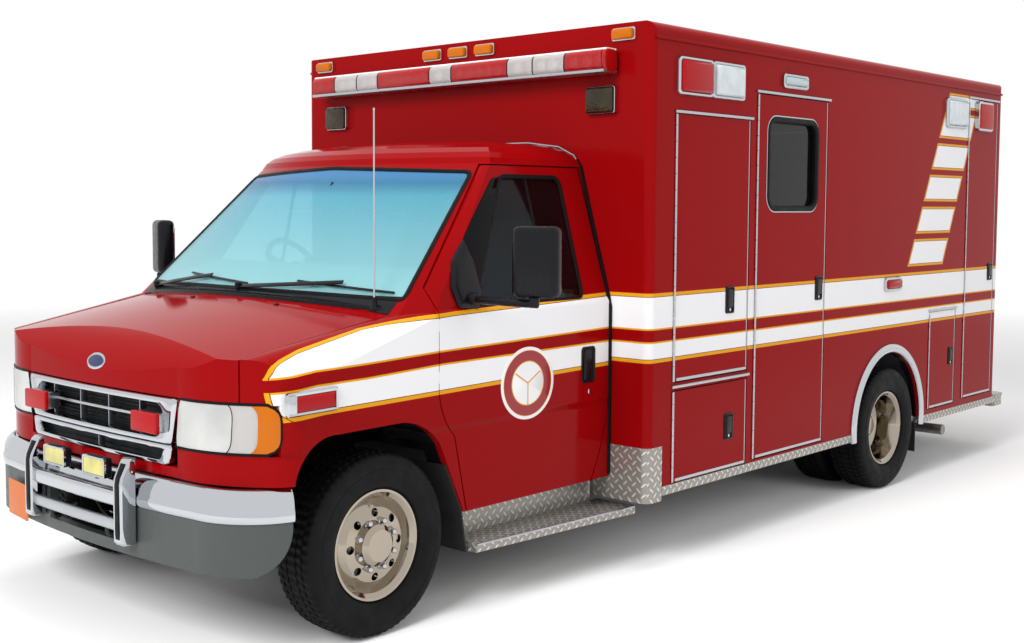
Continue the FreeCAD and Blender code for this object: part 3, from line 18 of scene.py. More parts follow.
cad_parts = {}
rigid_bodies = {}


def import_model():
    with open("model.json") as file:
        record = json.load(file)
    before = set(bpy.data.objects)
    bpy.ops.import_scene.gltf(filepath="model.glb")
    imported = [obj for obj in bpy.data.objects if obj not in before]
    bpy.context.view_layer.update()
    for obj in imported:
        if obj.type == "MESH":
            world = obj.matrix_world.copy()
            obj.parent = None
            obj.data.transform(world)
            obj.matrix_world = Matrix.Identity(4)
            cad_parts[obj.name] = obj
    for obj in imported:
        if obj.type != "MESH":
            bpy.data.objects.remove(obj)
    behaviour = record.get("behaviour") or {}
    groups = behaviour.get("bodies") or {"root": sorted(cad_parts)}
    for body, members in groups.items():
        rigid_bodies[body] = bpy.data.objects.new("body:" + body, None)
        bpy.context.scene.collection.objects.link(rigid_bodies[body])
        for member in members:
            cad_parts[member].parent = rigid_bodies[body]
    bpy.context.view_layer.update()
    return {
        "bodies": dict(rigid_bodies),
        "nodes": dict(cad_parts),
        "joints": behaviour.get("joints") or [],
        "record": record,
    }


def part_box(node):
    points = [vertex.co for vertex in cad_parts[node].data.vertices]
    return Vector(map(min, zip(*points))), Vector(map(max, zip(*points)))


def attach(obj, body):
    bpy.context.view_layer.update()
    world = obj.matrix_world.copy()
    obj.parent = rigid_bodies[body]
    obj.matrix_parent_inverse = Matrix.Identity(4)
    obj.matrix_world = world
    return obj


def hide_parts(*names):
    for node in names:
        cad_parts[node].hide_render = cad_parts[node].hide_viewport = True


LOG = logging.getLogger("ambulance")
FRONT_AXLE_Y = -2.54

# Two coordinates across an axis, and the three of the row frame.
Place = tuple[float, float]
Point = tuple[float, float, float]
# A number, or an array of them that a formula takes at once.
Numbers = float | np.ndarray
# What a shader's socket can be given: a node or socket to link from, or a plain value.
Source = bpy.types.Node | bpy.types.NodeSocket | float | tuple[float, ...]


def at_y(distance: float) -> float:
    """Row Y of a place that many metres behind the front axle.

    Args:
        distance: metres from the front axle, towards the rear.

    Returns:
        The place's Y in the row frame.
    """
    return distance + FRONT_AXLE_Y


class Axis(Enum):
    """A row axis, and the order of the two others in an outline that is drawn across it."""

    X = (0, 1, 2)
    Y = (1, 0, 2)
    Z = (2, 0, 1)


class Side(Enum):
    """A side of the vehicle, by the sign of its X."""

    LEFT = 1
    RIGHT = -1

    @property
    def word(self) -> str:
        """The side's name as the CAD nodes spell it."""
        return self.name.lower()


# ------------------------------------------------------------------ shapes worked out with numpy
@dataclass
class Shape:
    """Vertices and faces, before they go into a mesh.

    Attributes:
        points: one row per vertex.
        faces: arrays of vertex numbers, one row per face, each array of one corner count.
    """

    points: np.ndarray
    faces: list[np.ndarray] = field(default_factory=list)

    def moved(self, x: float = 0.0, y: float = 0.0, z: float = 0.0) -> "Shape":
        """The shape, shifted."""
        return Shape(self.points + np.array([x, y, z]), self.faces)

    def turned(self, axis: Axis, degrees: float, about: Point) -> "Shape":
        """The shape, turned about a line along a row axis.

        Args:
            axis: the line's direction.
            degrees: how far, by the right-hand rule.
            about: a point on the line.

        Returns:
            The turned copy.
        """
        spin = np.array(Matrix.Rotation(math.radians(degrees), 3, axis.name))
        centre = np.array(about)
        return Shape((self.points - centre) @ spin.T + centre, self.faces)

    def mirrored(self) -> "Shape":
        """The shape on the other side of the X = 0 plane, with its faces turned round again."""
        return Shape(self.points * np.array([-1.0, 1.0, 1.0]), [f[:, ::-1] for f in self.faces])

    def on(self, side: Side) -> "Shape":
        """A left-side shape as it stands on the given side."""
        return self if side is Side.LEFT else self.mirrored()


def joined(shapes: list[Shape]) -> Shape:
    """Several shapes as one.

    Args:
        shapes: what to join.

    Returns:
        One shape that holds all their vertices and faces.
    """
    starts = np.cumsum([0] + [len(s.points) for s in shapes])
    faces = [f + start for s, start in zip(shapes, starts) for f in s.faces]
    return Shape(np.vstack([s.points for s in shapes]), faces)


def surface(points: np.ndarray, wrap_u: bool = False, wrap_v: bool = False,
            capped: bool = False) -> Shape:
    """A grid of points as quads: each cell joins four neighbours.

    Args:
        points: an array of shape (u, v, 3).
        wrap_u: whether the last row joins the first.
        wrap_v: whether the last column joins the first.
        capped: whether the first and last rows get a face of their own.

    Returns:
        The surface.
    """
    rows, columns = points.shape[:2]
    index = np.arange(rows * columns).reshape(rows, columns)
    first, last = index[0].copy(), index[-1].copy()
    if wrap_u:
        index = np.vstack([index, index[:1]])
    if wrap_v:
        index = np.hstack([index, index[:, :1]])
    quads = np.stack([index[:-1, :-1], index[1:, :-1], index[1:, 1:], index[:-1, 1:]], -1)
    faces = [quads.reshape(-1, 4)]
    if capped:
        faces += [first[None, :], last[None, ::-1]]
    return Shape(points.reshape(-1, 3), faces)


def rounded(low: Place, high: Place, radius: float, steps: int = 5) -> np.ndarray:
    """A rectangle with round corners: each corner is a quarter circle about its own centre.

    Args:
        low: the corner with both smaller coordinates.
        high: the opposite corner.
        radius: of the corners.
        steps: points in each quarter circle.

    Returns:
        The outline, anticlockwise.
    """
    quarter = np.linspace(0, math.pi / 2, steps)
    angle = (quarter[None, :] + np.arange(4)[:, None] * math.pi / 2).ravel()
    centre_a = np.repeat([high[0], low[0], low[0], high[0]], steps)
    centre_b = np.repeat([high[1], high[1], low[1], low[1]], steps)
    inward = np.repeat([(-1, -1), (1, -1), (1, 1), (-1, 1)], steps, axis=0) * radius
    return np.stack([centre_a + inward[:, 0] + radius * np.cos(angle),
                     centre_b + inward[:, 1] + radius * np.sin(angle)], -1)


def rectangle(low: Place, high: Place) -> np.ndarray:
    """A rectangle with sharp corners, anticlockwise from its low one."""
    return np.array([low, (high[0], low[1]), high, (low[0], high[1])])


def grown(outline: np.ndarray, distance: float) -> np.ndarray:
    """An outline with each point moved out along the mean of its two edges' normals.

    Args:
        outline: points in order, anticlockwise.
        distance: how far; negative moves them in, and no point passes the smaller box, so a
            round corner that is used up ends sharp.

    Returns:
        The new outline.
    """
    edge = np.roll(outline, -1, axis=0) - outline
    normal = np.stack([edge[:, 1], -edge[:, 0]], -1)
    normal /= np.linalg.norm(normal, axis=1, keepdims=True) + 1e-12
    mean = normal + np.roll(normal, 1, axis=0)
    mean /= np.maximum((mean * normal).sum(1, keepdims=True), 0.2)
    low, high = outline.min(0) - distance, outline.max(0) + distance
    return np.clip(outline + mean * distance, low, high)


def lifted(outline: np.ndarray, axis: Axis, height: float) -> np.ndarray:
    """An outline placed across an axis.

    Args:
        outline: its points, as pairs of the two other coordinates.
        axis: the axis.
        height: how far along it.

    Returns:
        The points in the row frame.
    """
    placed = np.empty((len(outline), 3))
    placed[:, axis.value[0]] = height
    placed[:, axis.value[1]] = outline[:, 0]
    placed[:, axis.value[2]] = outline[:, 1]
    return placed


def plate(outline: np.ndarray, axis: Axis, low: float, high: float, edge: float = 0.0,
          both: bool = False) -> Shape:
    """A flat piece whose rim is rounded: the outline shrinks by edge (1 - sin t) as it rises
    by edge (1 - cos t).

    Args:
        outline: its shape across the axis.
        axis: what it is thick along.
        low: its lower face.
        high: its upper face.
        edge: the rim's radius.
        both: whether the lower rim is rounded too.

    Returns:
        The closed piece.
    """
    t = np.linspace(0, math.pi / 2, 4) if edge else np.array([0.0])
    rise, inset = edge * np.sin(t), edge * (1 - np.cos(t))
    sign = 1 if high > low else -1
    rings = [] if both and edge else [(0.0, low)]
    if both and edge:
        rings += [(i, low + sign * (edge - r)) for r, i in zip(rise[::-1], inset[::-1])]
    rings += [(i, high - sign * (edge - r)) for r, i in zip(rise, inset)]
    return surface(np.stack([lifted(grown(outline, -i), axis, h) for i, h in rings]),
                   wrap_v=True, capped=True)


def bezel(outline: np.ndarray, axis: Axis, section: list[Place]) -> Shape:
    """A closed section carried round an outline, as a lamp's rim or a window's rubber.

    Args:
        outline: the line that the section follows.
        axis: what the frame stands up along.
        section: closed, as (distance out of the outline, height) pairs.

    Returns:
        The ring.
    """
    return surface(np.stack([lifted(grown(outline, out), axis, h) for out, h in section]),
                   wrap_u=True, wrap_v=True)


def revolved(profile: list[Place], axis: Axis, centre: Point, segments: int = 48,
             closed: bool = False) -> Shape:
    """A profile turned about a line: each point keeps its height and goes round its radius.

    Args:
        profile: (height along the axis, radius) pairs.
        axis: the line's direction.
        centre: where height 0 lies.
        segments: points round the circle.
        closed: whether the profile's last point joins its first.

    Returns:
        The surface of revolution.
    """
    rows = np.array(profile)
    angle = np.linspace(0, 2 * math.pi, segments, endpoint=False)
    a, b, c = axis.value
    points = np.empty((len(rows), segments, 3))
    points[..., a] = centre[a] + rows[:, :1]
    points[..., b] = centre[b] + rows[:, 1:] * np.cos(angle)
    points[..., c] = centre[c] + rows[:, 1:] * np.sin(angle)
    return surface(points, wrap_u=closed, wrap_v=True)


def swept(path: np.ndarray, section: np.ndarray, up: Point, looped: bool = False) -> Shape:
    """A section carried along a path: its first axis lies across the path and across up.

    Args:
        path: points along the way.
        section: closed outline, anticlockwise, as (sideways, upwards) pairs.
        up: the direction that the section's second axis keeps nearest to.
        looped: whether the path closes on itself.

    Returns:
        The swept piece, capped unless it is looped.
    """
    path = np.asarray(path, float)
    if looped:
        tangent = np.roll(path, -1, axis=0) - np.roll(path, 1, axis=0)
    else:
        tangent = np.gradient(path, axis=0)
    tangent /= np.linalg.norm(tangent, axis=1, keepdims=True)
    side = np.cross(tangent, np.array(up))
    side /= np.linalg.norm(side, axis=1, keepdims=True)
    rise = np.cross(side, tangent)
    points = (path[:, None] + side[:, None] * section[None, :, :1]
              + rise[:, None] * section[None, :, 1:])
    return surface(points, wrap_u=looped, wrap_v=True, capped=not looped)


def circle(radius: float, sides: int = 12, squash: float = 1.0) -> np.ndarray:
    """A round section, or an oval one whose height is squash times its width."""
    angle = np.linspace(0, 2 * math.pi, sides, endpoint=False)
    return np.stack([radius * np.cos(angle), radius * squash * np.sin(angle)], -1)


def curve_through(points: list[Point], count: int = 24) -> np.ndarray:
    """A smooth line through a few points: each coordinate is a cubic of Catmull and Rom's kind.

    Args:
        points: what it goes through.
        count: points in each span.

    Returns:
        The line's points.
    """
    p = np.array(points, float)
    p = np.vstack([2 * p[0] - p[1], p, 2 * p[-1] - p[-2]])
    t = np.linspace(0, 1, count, endpoint=False)[:, None]
    spans = [0.5 * (2 * p[i] + (p[i + 1] - p[i - 1]) * t
                    + (2 * p[i - 1] - 5 * p[i] + 4 * p[i + 1] - p[i + 2]) * t ** 2
                    + (3 * p[i] - p[i - 1] - 3 * p[i + 1] + p[i + 2]) * t ** 3)
             for i in range(1, len(p) - 2)]
    return np.vstack(spans + [p[-2][None, :]])


def arc_through(start: Place, middle: Place, end: Place, count: int = 12) -> np.ndarray:
    """The arc through three points: its centre is where their circle's is, found with complex
    numbers, and the points turn about it by equal angles.

    Args:
        start: the first point.
        middle: a point between.
        end: the last point.
        count: how many points to give.

    Returns:
        The points.
    """
    a, b, c = (complex(*p) for p in (start, middle, end))
    w = (c - a) / (b - a)
    centre = a + (b - a) * (w - abs(w) ** 2) / (2j * w.imag)
    turn = np.angle((c - centre) / (a - centre)) * np.linspace(0, 1, count)
    line = centre + (a - centre) * np.exp(1j * turn)
    return np.stack([line.real, line.imag], -1)


@dataclass
class Span:
    """A CAD node's box at rest.

    Attributes:
        low: its lowest corner.
        high: its highest corner.
    """

    low: Vector
    high: Vector

    @classmethod
    def of(cls, node: str) -> "Span":
        """The box of a named node."""
        return cls(*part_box(node))

    @property
    def middle(self) -> Vector:
        """The box's centre."""
        return (self.low + self.high) / 2


# ------------------------------------------------------------------ finishes
def linear(code: str) -> tuple[float, float, float, float]:
    """A colour as the shader takes it: each sRGB channel below 0.04045 is divided by 12.92, and
    each above it is ((c + 0.055) / 1.055) to the power 2.4.

    Args:
        code: the sRGB colour, as #rrggbb.

    Returns:
        Linear red, green, blue and an alpha of 1.
    """
    value = np.array([int(code[i:i + 2], 16) for i in (1, 3, 5)]) / 255
    light = np.where(value <= 0.04045, value / 12.92, ((value + 0.055) / 1.055) ** 2.4)
    return (*map(float, light), 1.0)


class Tree:
    """A material's node tree, with one way to add a node of any kind."""

    def __init__(self, name: str, world: bool = False) -> None:
        """Starts an empty material, or the world's nodes.

        Args:
            name: the material's, after its real finish.
            world: whether a world is wanted instead.
        """
        self.material = (bpy.data.worlds if world else bpy.data.materials).new(name)
        self.material.use_nodes = True
        self.tree = self.material.node_tree
        self.tree.nodes.clear()

    def add(self, kind: str, *inputs: Source | dict[str, Source],
            **settings: object) -> bpy.types.Node:
        """Adds a node; a link from another node leaves by its first socket in use.

        Args:
            kind: its type, without the ShaderNode in front.
            *inputs: what goes into its sockets in use, in their order, or one dict of it by
                the sockets' names.
            **settings: attributes of the node itself, which are set first.

        Returns:
            The node.
        """
        node = self.tree.nodes.new("ShaderNode" + kind)
        for key, value in settings.items():
            setattr(node, key, value)
        if inputs and isinstance(inputs[0], dict):
            given = [(node.inputs[key], value) for key, value in inputs[0].items()]
        else:
            given = zip([socket for socket in node.inputs if socket.enabled], inputs)
        for socket, value in given:
            if isinstance(value, bpy.types.Node):
                value = next(s for s in value.outputs if s.enabled)
            if isinstance(value, bpy.types.NodeSocket):
                self.tree.links.new(value, socket)
            else:
                socket.default_value = value
        return node

    def blotches(self, size: float) -> bpy.types.Node:
        """Soft noise in Object space, its blotches about that many metres across."""
        place = self.add("TexCoord").outputs["Object"]
        return self.add("TexNoise", {"Vector": place, "Scale": 1 / size, "Detail": 3.0})

    def finished(self, shader: Source) -> bpy.types.Material:
        """Joins the shader to the output."""
        self.add("OutputMaterial", {"Surface": shader})
        return self.material


@dataclass(frozen=True)
class Finish:
    """A plain finish: one colour with a faint unevenness in its gloss and face.

    Attributes:
        name: the real finish.
        colour: sRGB.
        roughness: 0 mirror, 1 matt.
        metallic: 1 for bare metal.
        grain: metres across the unevenness; 0 for none.
        uneven: how far the roughness wanders.
        dent: height of the bump, in metres.
        mottle: how far the colour wanders.
        coat: clear lacquer over it.
        specular: strength of the plain reflection.
        sheen: the soft rim of cloth and worn rubber.
    """

    name: str
    colour: str
    roughness: float = 0.5
    metallic: float = 0.0
    grain: float = 0.0
    uneven: float = 0.0
    dent: float = 0.0
    mottle: float = 0.0
    coat: float = 0.0
    specular: float = 0.5
    sheen: float = 0.0

    # How many times wider than the grain the blotches of colour and of gloss are.
    COLOUR_BLOTCH, GLOSS_BLOTCH = 9, 14

    def colour_of(self, tree: Tree) -> Source:
        """The colour, darker in soft blotches where the finish is mottled.

        Args:
            tree: the material's.

        Returns:
            The colour or the node that gives it.
        """
        base = linear(self.colour)
        if not (self.mottle and self.grain):
            return base
        darker = tuple(c * (1 - self.mottle) for c in base[:3]) + (1.0,)
        blotch = tree.add("MapRange", tree.blotches(self.grain * self.COLOUR_BLOTCH), 0.35, 0.65)
        return tree.add("Mix", blotch, darker, base, data_type="RGBA")

    def bump_of(self, tree: Tree) -> bpy.types.Node | None:
        """Roughens the face by soft noise.

        Args:
            tree: the material's.

        Returns:
            The node, or None for a smooth face.
        """
        if not (self.dent and self.grain):
            return None
        return tree.add("Bump", {"Height": tree.blotches(self.grain), "Distance": self.dent,
                                 "Strength": 1.0})

    def build(self) -> bpy.types.Material:
        """Joins colour, gloss and bump.

        Returns:
            The material.
        """
        tree = Tree(self.name)
        rough = self.roughness
        if self.uneven and self.grain:
            rough = tree.add("MapRange", tree.blotches(self.grain * self.GLOSS_BLOTCH), 0.3, 0.7,
                             self.roughness - self.uneven, self.roughness + self.uneven)
        values = {"Base Color": self.colour_of(tree), "Roughness": rough,
                  "Metallic": self.metallic, "Specular IOR Level": self.specular,
                  "Coat Weight": self.coat, "Coat Roughness": 0.06,
                  "Sheen Weight": self.sheen}
        bump = self.bump_of(tree)
        if bump is not None:
            values["Normal"] = bump
        return tree.finished(tree.add("BsdfPrincipled", values))


@dataclass(frozen=True)
class Glass(Finish):
    """A clear pane or lens: it lets straight light through, tinted, under a clear reflection.

    Attributes:
        tint: share of the light that goes through straight; the rest is the finish's colour.
    """

    tint: float = 0.8

    def build(self) -> bpy.types.Material:
        """Mixes a see-through shader with the plain finish, so nothing behind it is bent.

        Returns:
            The material.
        """
        tree = Tree(self.name)
        values = {"Base Color": self.colour_of(tree), "Roughness": self.roughness,
                  "Specular IOR Level": self.specular}
        bump = self.bump_of(tree)
        if bump is not None:
            values["Normal"] = bump
        body = tree.add("BsdfPrincipled", values)
        clear = tree.add("BsdfTransparent", {"Color": linear("#ffffff")})
        facing = tree.add("LayerWeight", {"Blend": 0.35}).outputs["Facing"]
        share = tree.add("MapRange", facing, 0.0, 1.0, 1 - self.tint, 1 - self.tint * 0.35)
        return tree.finished(tree.add("MixShader", share, clear, body))


@dataclass(frozen=True)
class Shade(Glass):
    """The windscreen: a clear pane whose top carries a blue sun band that fades downwards.

    Attributes:
        band: sRGB of the band.
        foot: sRGB that the painted sky reflection pales to near the foot.
        low: Z where the band starts to show.
        high: Z where it is full.
    """

    band: str = "#3f80b4"
    foot: str = "#a9dcdf"
    low: float = 1.76
    high: float = 1.86

    def build(self) -> bpy.types.Material:
        """Lets light straight through in a colour that depends on height.

        Returns:
            The material.
        """
        tree = Tree(self.name)
        height = tree.add("SeparateXYZ", tree.add("TexCoord").outputs["Object"]).outputs[2]
        share = tree.add("MapRange", height, self.low, self.high)
        # The body's green-blue, paling towards the foot, is painted sky reflection.
        pane = tree.add("Mix", tree.add("MapRange", height, 1.32, self.low), linear(self.foot),
                        linear(self.colour), data_type="RGBA")
        colour = tree.add("Mix", share, linear("#e2f6f7"), linear(self.band), data_type="RGBA")
        body = tree.add("BsdfPrincipled", {
            "Base Color": tree.add("Mix", share, pane, linear(self.band), data_type="RGBA"),
            "Roughness": self.roughness, "Specular IOR Level": self.specular})
        clear = tree.add("BsdfTransparent", {"Color": colour})
        facing = tree.add("LayerWeight", {"Blend": 0.35}).outputs["Facing"]
        bare = tree.add("MapRange", facing, 0.0, 1.0, 1 - self.tint, 1 - self.tint * 0.6)
        full = tree.add("Math", share, 0.72, operation="MULTIPLY")
        full = tree.add("Math", bare, full, operation="MAXIMUM")
        return tree.finished(tree.add("MixShader", full, clear, body))


@dataclass(frozen=True)
class TreadPlate(Finish):
    """Bright checker plate: short raised bars that lie one way in every second cell and the
    other way between them.

    Attributes:
        cell: metres between the bars, half as coarse again as real ones so that they show.
        worn: sRGB of the bars' tops.
    """

    cell: float = 0.036
    worn: str = "#dcd9d3"

    def colour_of(self, tree: Tree) -> Source:
        """The bars' tops are paler than the plate between them."""
        return tree.add("Mix", self.bars(tree), linear(self.colour), linear(self.worn),
                        data_type="RGBA")

    def bump_of(self, tree: Tree) -> bpy.types.Node:
        """Raises the bars."""
        return tree.add("Bump", {"Height": self.bars(tree), "Distance": self.dent,
                                 "Strength": 1.0})

    def bars(self, tree: Tree) -> bpy.types.Node:
        """1 on a bar and 0 off it, in the face's own plane: the sum and the difference of its two
        coordinates, over the cell, count the cells, and a bar is where (2.1 along)^2 +
        (6.5 aside)^2 < 1 about a cell's middle, with along and aside swapped in odd cells.

        Args:
            tree: the material's.

        Returns:
            The node.
        """
        place = tree.add("SeparateXYZ", tree.add("TexCoord").outputs["Object"])
        normal = tree.add("SeparateXYZ", tree.add("NewGeometry").outputs["Normal"])
        sizes = [tree.add("Math", normal.outputs[i], operation="ABSOLUTE") for i in (1, 2)]
        flat_y, flat_z = (tree.add("Math", s, 0.7, operation="GREATER_THAN") for s in sizes)
        across = tree.add("Mix", flat_y, place.outputs[1], place.outputs[0])
        other = tree.add("Mix", flat_z, place.outputs[2], place.outputs[0])
        turned = [tree.add("Math", across, other, operation=way) for way in ("ADD", "SUBTRACT")]
        turned = [tree.add("Math", t, 0.7071 / self.cell, operation="MULTIPLY") for t in turned]
        odd = tree.add("Math", *[tree.add("Math", t, operation="FLOOR") for t in turned],
                       operation="ADD")
        odd = tree.add("Math", odd, operation="ABSOLUTE")
        odd = tree.add("Math", odd, 2.0, operation="MODULO")
        odd = tree.add("Math", odd, 0.5, operation="GREATER_THAN")
        within = [tree.add("Math", t, operation="FRACT") for t in turned]
        within = [tree.add("Math", t, 0.5, operation="SUBTRACT") for t in within]
        squares = []
        for order, stretch in ((within, 2.1), (within[::-1], 6.5)):
            part = tree.add("Math", tree.add("Mix", odd, *order), stretch, operation="MULTIPLY")
            squares.append(tree.add("Math", part, 2.0, operation="POWER"))
        reach = tree.add("Math", *squares, operation="ADD")
        return tree.add("MapRange", reach, 0.55, 1.15, 1.0, 0.0)


@dataclass(frozen=True)
class Coachwork(Finish):
    """Red lacquer with the white belt band and its gold edges.

    Round the box every line is level. On the cab the lines droop towards the nose, so each is
    a curve of height over Y, and the bands end in a rounded front on the fender.

    Attributes:
        white: sRGB of the band.
        gold: sRGB of its edges.
        line: sRGB of the dark line inside the thick gold edges.
        thick: width of the outer gold edges.
        thin: width of the gold edges beside the middle red stripe.
        level: Z of the four lines round the box: bottom, lower, upper and top.
        ladder: whether the white blocks climb this panel.
        bands: whether it has the white band at all.
    """

    white: str = "#e4e4e6"
    gold: str = "#d9971f"
    line: str = "#5a3a12"
    thick: float = 0.016
    thin: float = 0.008
    level: tuple[float, ...] = (0.983, 1.083, 1.137, 1.31)
    ladder: bool = False
    bands: bool = True

    # Lines of the cab over the distance behind the front axle: heights, and for the shoulder
    # of the fender the X where the top line runs and how flat the shoulder lies there.
    TOP = ((-0.525, 1.07), (-0.516, 1.107), (-0.503, 1.129), (-0.462, 1.145), (-0.346, 1.178),
           (-0.256, 1.199), (-0.091, 1.23), (0.1, 1.256), (0.217, 1.267), (0.408, 1.278),
           (1.488, 1.308))
    REACH = ((-0.525, 0.92), (-0.516, 0.933), (-0.503, 0.947), (-0.462, 0.935), (-0.346, 0.918),
             (-0.256, 0.909), (-0.172, 0.908), (-0.091, 0.914), (0.1, 0.949), (0.217, 0.972),
             (0.408, 1.0))
    FLAT = ((-0.525, 0.87), (0.05, 0.87), (0.35, 0.0))
    UPPER = ((-0.516, 1.073), (-0.331, 1.093), (-0.082, 1.099), (0.334, 1.114), (1.488, 1.138))
    LOWER = ((-0.516, 1.027), (-0.334, 1.046), (-0.082, 1.05), (0.344, 1.068), (1.488, 1.082))
    BOTTOM = ((-0.472, 0.916), (-0.294, 0.929), (-0.082, 0.933), (0.374, 0.941), (1.488, 0.962))
    # X where the bands end on the nose, over height.
    END = ((0.9, 0.985), (0.916, 0.974), (0.95, 0.948), (0.985, 0.931), (1.015, 0.925),
           (1.05, 0.92))
    # Inside, on the cab and on the box: greatest |X|, and Z where the painted arch shade and the
    # lining end.
    INNER_X, ARCH_TOP, LINING_TOP = (0.966, 1.205), (0.93, 0.95), (1.285, 2.49)
    # Distances behind the front axle: where the box starts and ends, the gap before it and how
    # far it reaches each way, the rear axle and its arches' reach, and where the front arch and
    # the cab doors start.
    BOX_FRONT, BOX_REAR, SEAM, SEAM_REACH = 1.4865, 5.672, 1.5, 0.05
    REAR_AXLE, ARCH_REACH, ARCH_START, DOOR_START = 4.013, 0.56, -0.43, 0.36
    # The ladder: Z of its foot and top, the blocks' pitch and height, the insets of its dark
    # line and white, and the lean and foot of its front and rear edges.
    FOOT, CREST, PITCH, TALL = 1.348, 2.45, 0.202, 0.168
    INSETS = (0.013, 0.016)
    FRONT_EDGE, REAR_EDGE = (0.5136, 4.235), (0.4914, 4.757)
    # Least |X| of the box's outer skin.
    OUTSIDE = 1.15

    @staticmethod
    def line_over(tree: Tree, place: Source, points: tuple, low: float,
                  high: float) -> bpy.types.Node:
        """A line as a curve through its points, over one coordinate.

        Args:
            tree: the material's.
            place: the coordinate, as a socket.
            points: (coordinate, value) pairs.
            low: least value that the curve can give.
            high: greatest.

        Returns:
            The node that gives the value.
        """
        start, stop = points[0][0] - 0.1, points[-1][0] + 0.1
        node = tree.add("FloatCurve", {"Value": tree.add("MapRange", place, start, stop)})
        curve = node.mapping.curves[0]
        placed = [((d - start) / (stop - start), (h - low) / (high - low)) for d, h in points]
        placed = [(0.0, placed[0][1]), *placed, (1.0, placed[-1][1])]
        while len(curve.points) < len(placed):
            curve.points.new(0.5, 0.5)
        for point, where in zip(curve.points, placed):
            point.location = where
            point.handle_type = "VECTOR"
        node.mapping.update()
        return tree.add("MapRange", node, 0.0, 1.0, low, high)

    def colour_of(self, tree: Tree) -> Source:
        """Red, with the bands and the ladder laid over it, the lining inside and the painted shade
        in the wheel arches.

        Above each line the colour changes. The depth below the top line is measured along the
        shoulder, (|X| - reach) flat + (top - Z) (1 - 0.57 flat), and the one behind the bands'
        front is |X| less the end line's.

        Args:
            tree: the material's.

        Returns:
            The colour or the node that gives it.
        """
        red = linear(self.colour)
        if not self.bands:
            return red
        place = tree.add("SeparateXYZ", tree.add("TexCoord").outputs["Object"])
        y, z = place.outputs[1], place.outputs[2]
        x = tree.add("Math", place.outputs[0], operation="ABSOLUTE")
        behind = tree.add("Math", y, FRONT_AXLE_Y, operation="SUBTRACT")
        box = tree.add("Math", behind, self.BOX_FRONT, operation="GREATER_THAN")
        bottom, lower, upper, top = (
            tree.add("Mix", box, self.line_over(tree, behind, line, 0.85, 1.35), level)
            for line, level in zip((self.BOTTOM, self.LOWER, self.UPPER, self.TOP), self.level))

        def above(line: Source, offset: float) -> bpy.types.Node:
            """1 where the point is higher than the line by the offset, and 0 elsewhere."""
            higher = tree.add("Math", z, line, operation="SUBTRACT")
            return tree.add("Math", higher, offset, operation="GREATER_THAN")

        colour = red
        for share, shade in ((above(bottom, 0), self.gold), (above(bottom, self.thick), self.line),
                             (above(bottom, self.thick + 0.003), self.white),
                             (above(lower, -self.thin), self.gold), (above(lower, 0), None),
                             (above(upper, 0), self.gold), (above(upper, self.thin), self.white)):
            colour = tree.add("Mix", share, colour, linear(shade) if shade else red,
                              data_type="RGBA")
        cab = tree.add("Math", 1.0, box, operation="SUBTRACT")
        flat = tree.add("Math", cab, self.line_over(tree, behind, self.FLAT, 0.0, 1.0),
                        operation="MULTIPLY")
        aside = tree.add("Math", x, self.line_over(tree, behind, self.REACH, 0.85, 1.05),
                         operation="SUBTRACT")
        aside = tree.add("Math", aside, flat, operation="MULTIPLY")
        share = tree.add("Math", 1.0, tree.add("Math", flat, 0.57, operation="MULTIPLY"),
                         operation="SUBTRACT")
        depth = tree.add("Math", top, z, operation="SUBTRACT")
        depth = tree.add("Math", depth, share, operation="MULTIPLY")
        depth = tree.add("Math", aside, depth, operation="ADD")
        end = tree.add("Math", x, self.line_over(tree, z, self.END, 0.85, 1.05),
                       operation="SUBTRACT")
        end = tree.add("Math", end, box, operation="ADD")
        depth = tree.add("Math", depth, end, operation="MINIMUM")
        stripe = tree.add("Math", 1.0, above(upper, 0), operation="SUBTRACT")
        stripe = tree.add("Math", above(lower, 0), stripe, operation="MULTIPLY")
        rim = tree.add("Math", 1.0, stripe, operation="SUBTRACT")
        rim = tree.add("Math", above(bottom, 0), rim, operation="MULTIPLY")
        for edge, shade in ((self.thick + 0.003, self.line), (self.thick, self.gold), (0.0, None)):
            share = tree.add("Math", depth, edge, operation="LESS_THAN")
            share = tree.add("Math", share, rim, operation="MULTIPLY") if shade else share
            colour = tree.add("Mix", share, colour, linear(shade) if shade else red,
                              data_type="RGBA")
        if self.ladder:
            colour = self.with_ladder(tree, colour, behind, x, z)
        return self.lined(tree, colour, box, behind, x, z)

    def lined(self, tree: Tree, colour: Source, box: Source, behind: Source, x: Source,
              z: Source) -> Source:
        """Painted shade, near black, inside the wheel arches, trim board inside the cab doors and
        sheet lining inside the box and its doors: each is a share of points within the outer skin.

        Args:
            tree: the material's.
            colour: what the outer skin has.
            box: 1 on the box and 0 on the cab.
            behind: the distance behind the front axle.
            x: distance from the middle.
            z: height.

        Returns:
            The new colour.
        """
        inner_x, arch_shade_top, lining_top = (
            tree.add("Mix", box, *limits)
            for limits in (self.INNER_X, self.ARCH_TOP, self.LINING_TOP))
        seam = tree.add("Math", behind, self.SEAM, operation="SUBTRACT")
        seam = tree.add("Math", seam, operation="ABSOLUTE")
        within = tree.add("Math", x, inner_x, operation="LESS_THAN")
        for share in (tree.add("Math", behind, self.BOX_REAR, operation="LESS_THAN"),
                      tree.add("Math", seam, self.SEAM_REACH, operation="GREATER_THAN")):
            within = tree.add("Math", within, share, operation="MULTIPLY")
        rear = tree.add("Math", behind, self.REAR_AXLE, operation="SUBTRACT")
        rear = tree.add("Math", rear, operation="ABSOLUTE")
        rear = tree.add("Math", rear, self.ARCH_REACH, operation="LESS_THAN")
        arch = tree.add("Math", behind, self.ARCH_START, operation="GREATER_THAN")
        for share in (tree.add("Math", z, arch_shade_top, operation="LESS_THAN"),
                      tree.add("Mix", box, 1.0, rear)):
            arch = tree.add("Math", arch, share, operation="MULTIPLY")
        lining = tree.add("Math", behind, self.DOOR_START, operation="GREATER_THAN")
        under = tree.add("Math", z, lining_top, operation="LESS_THAN")
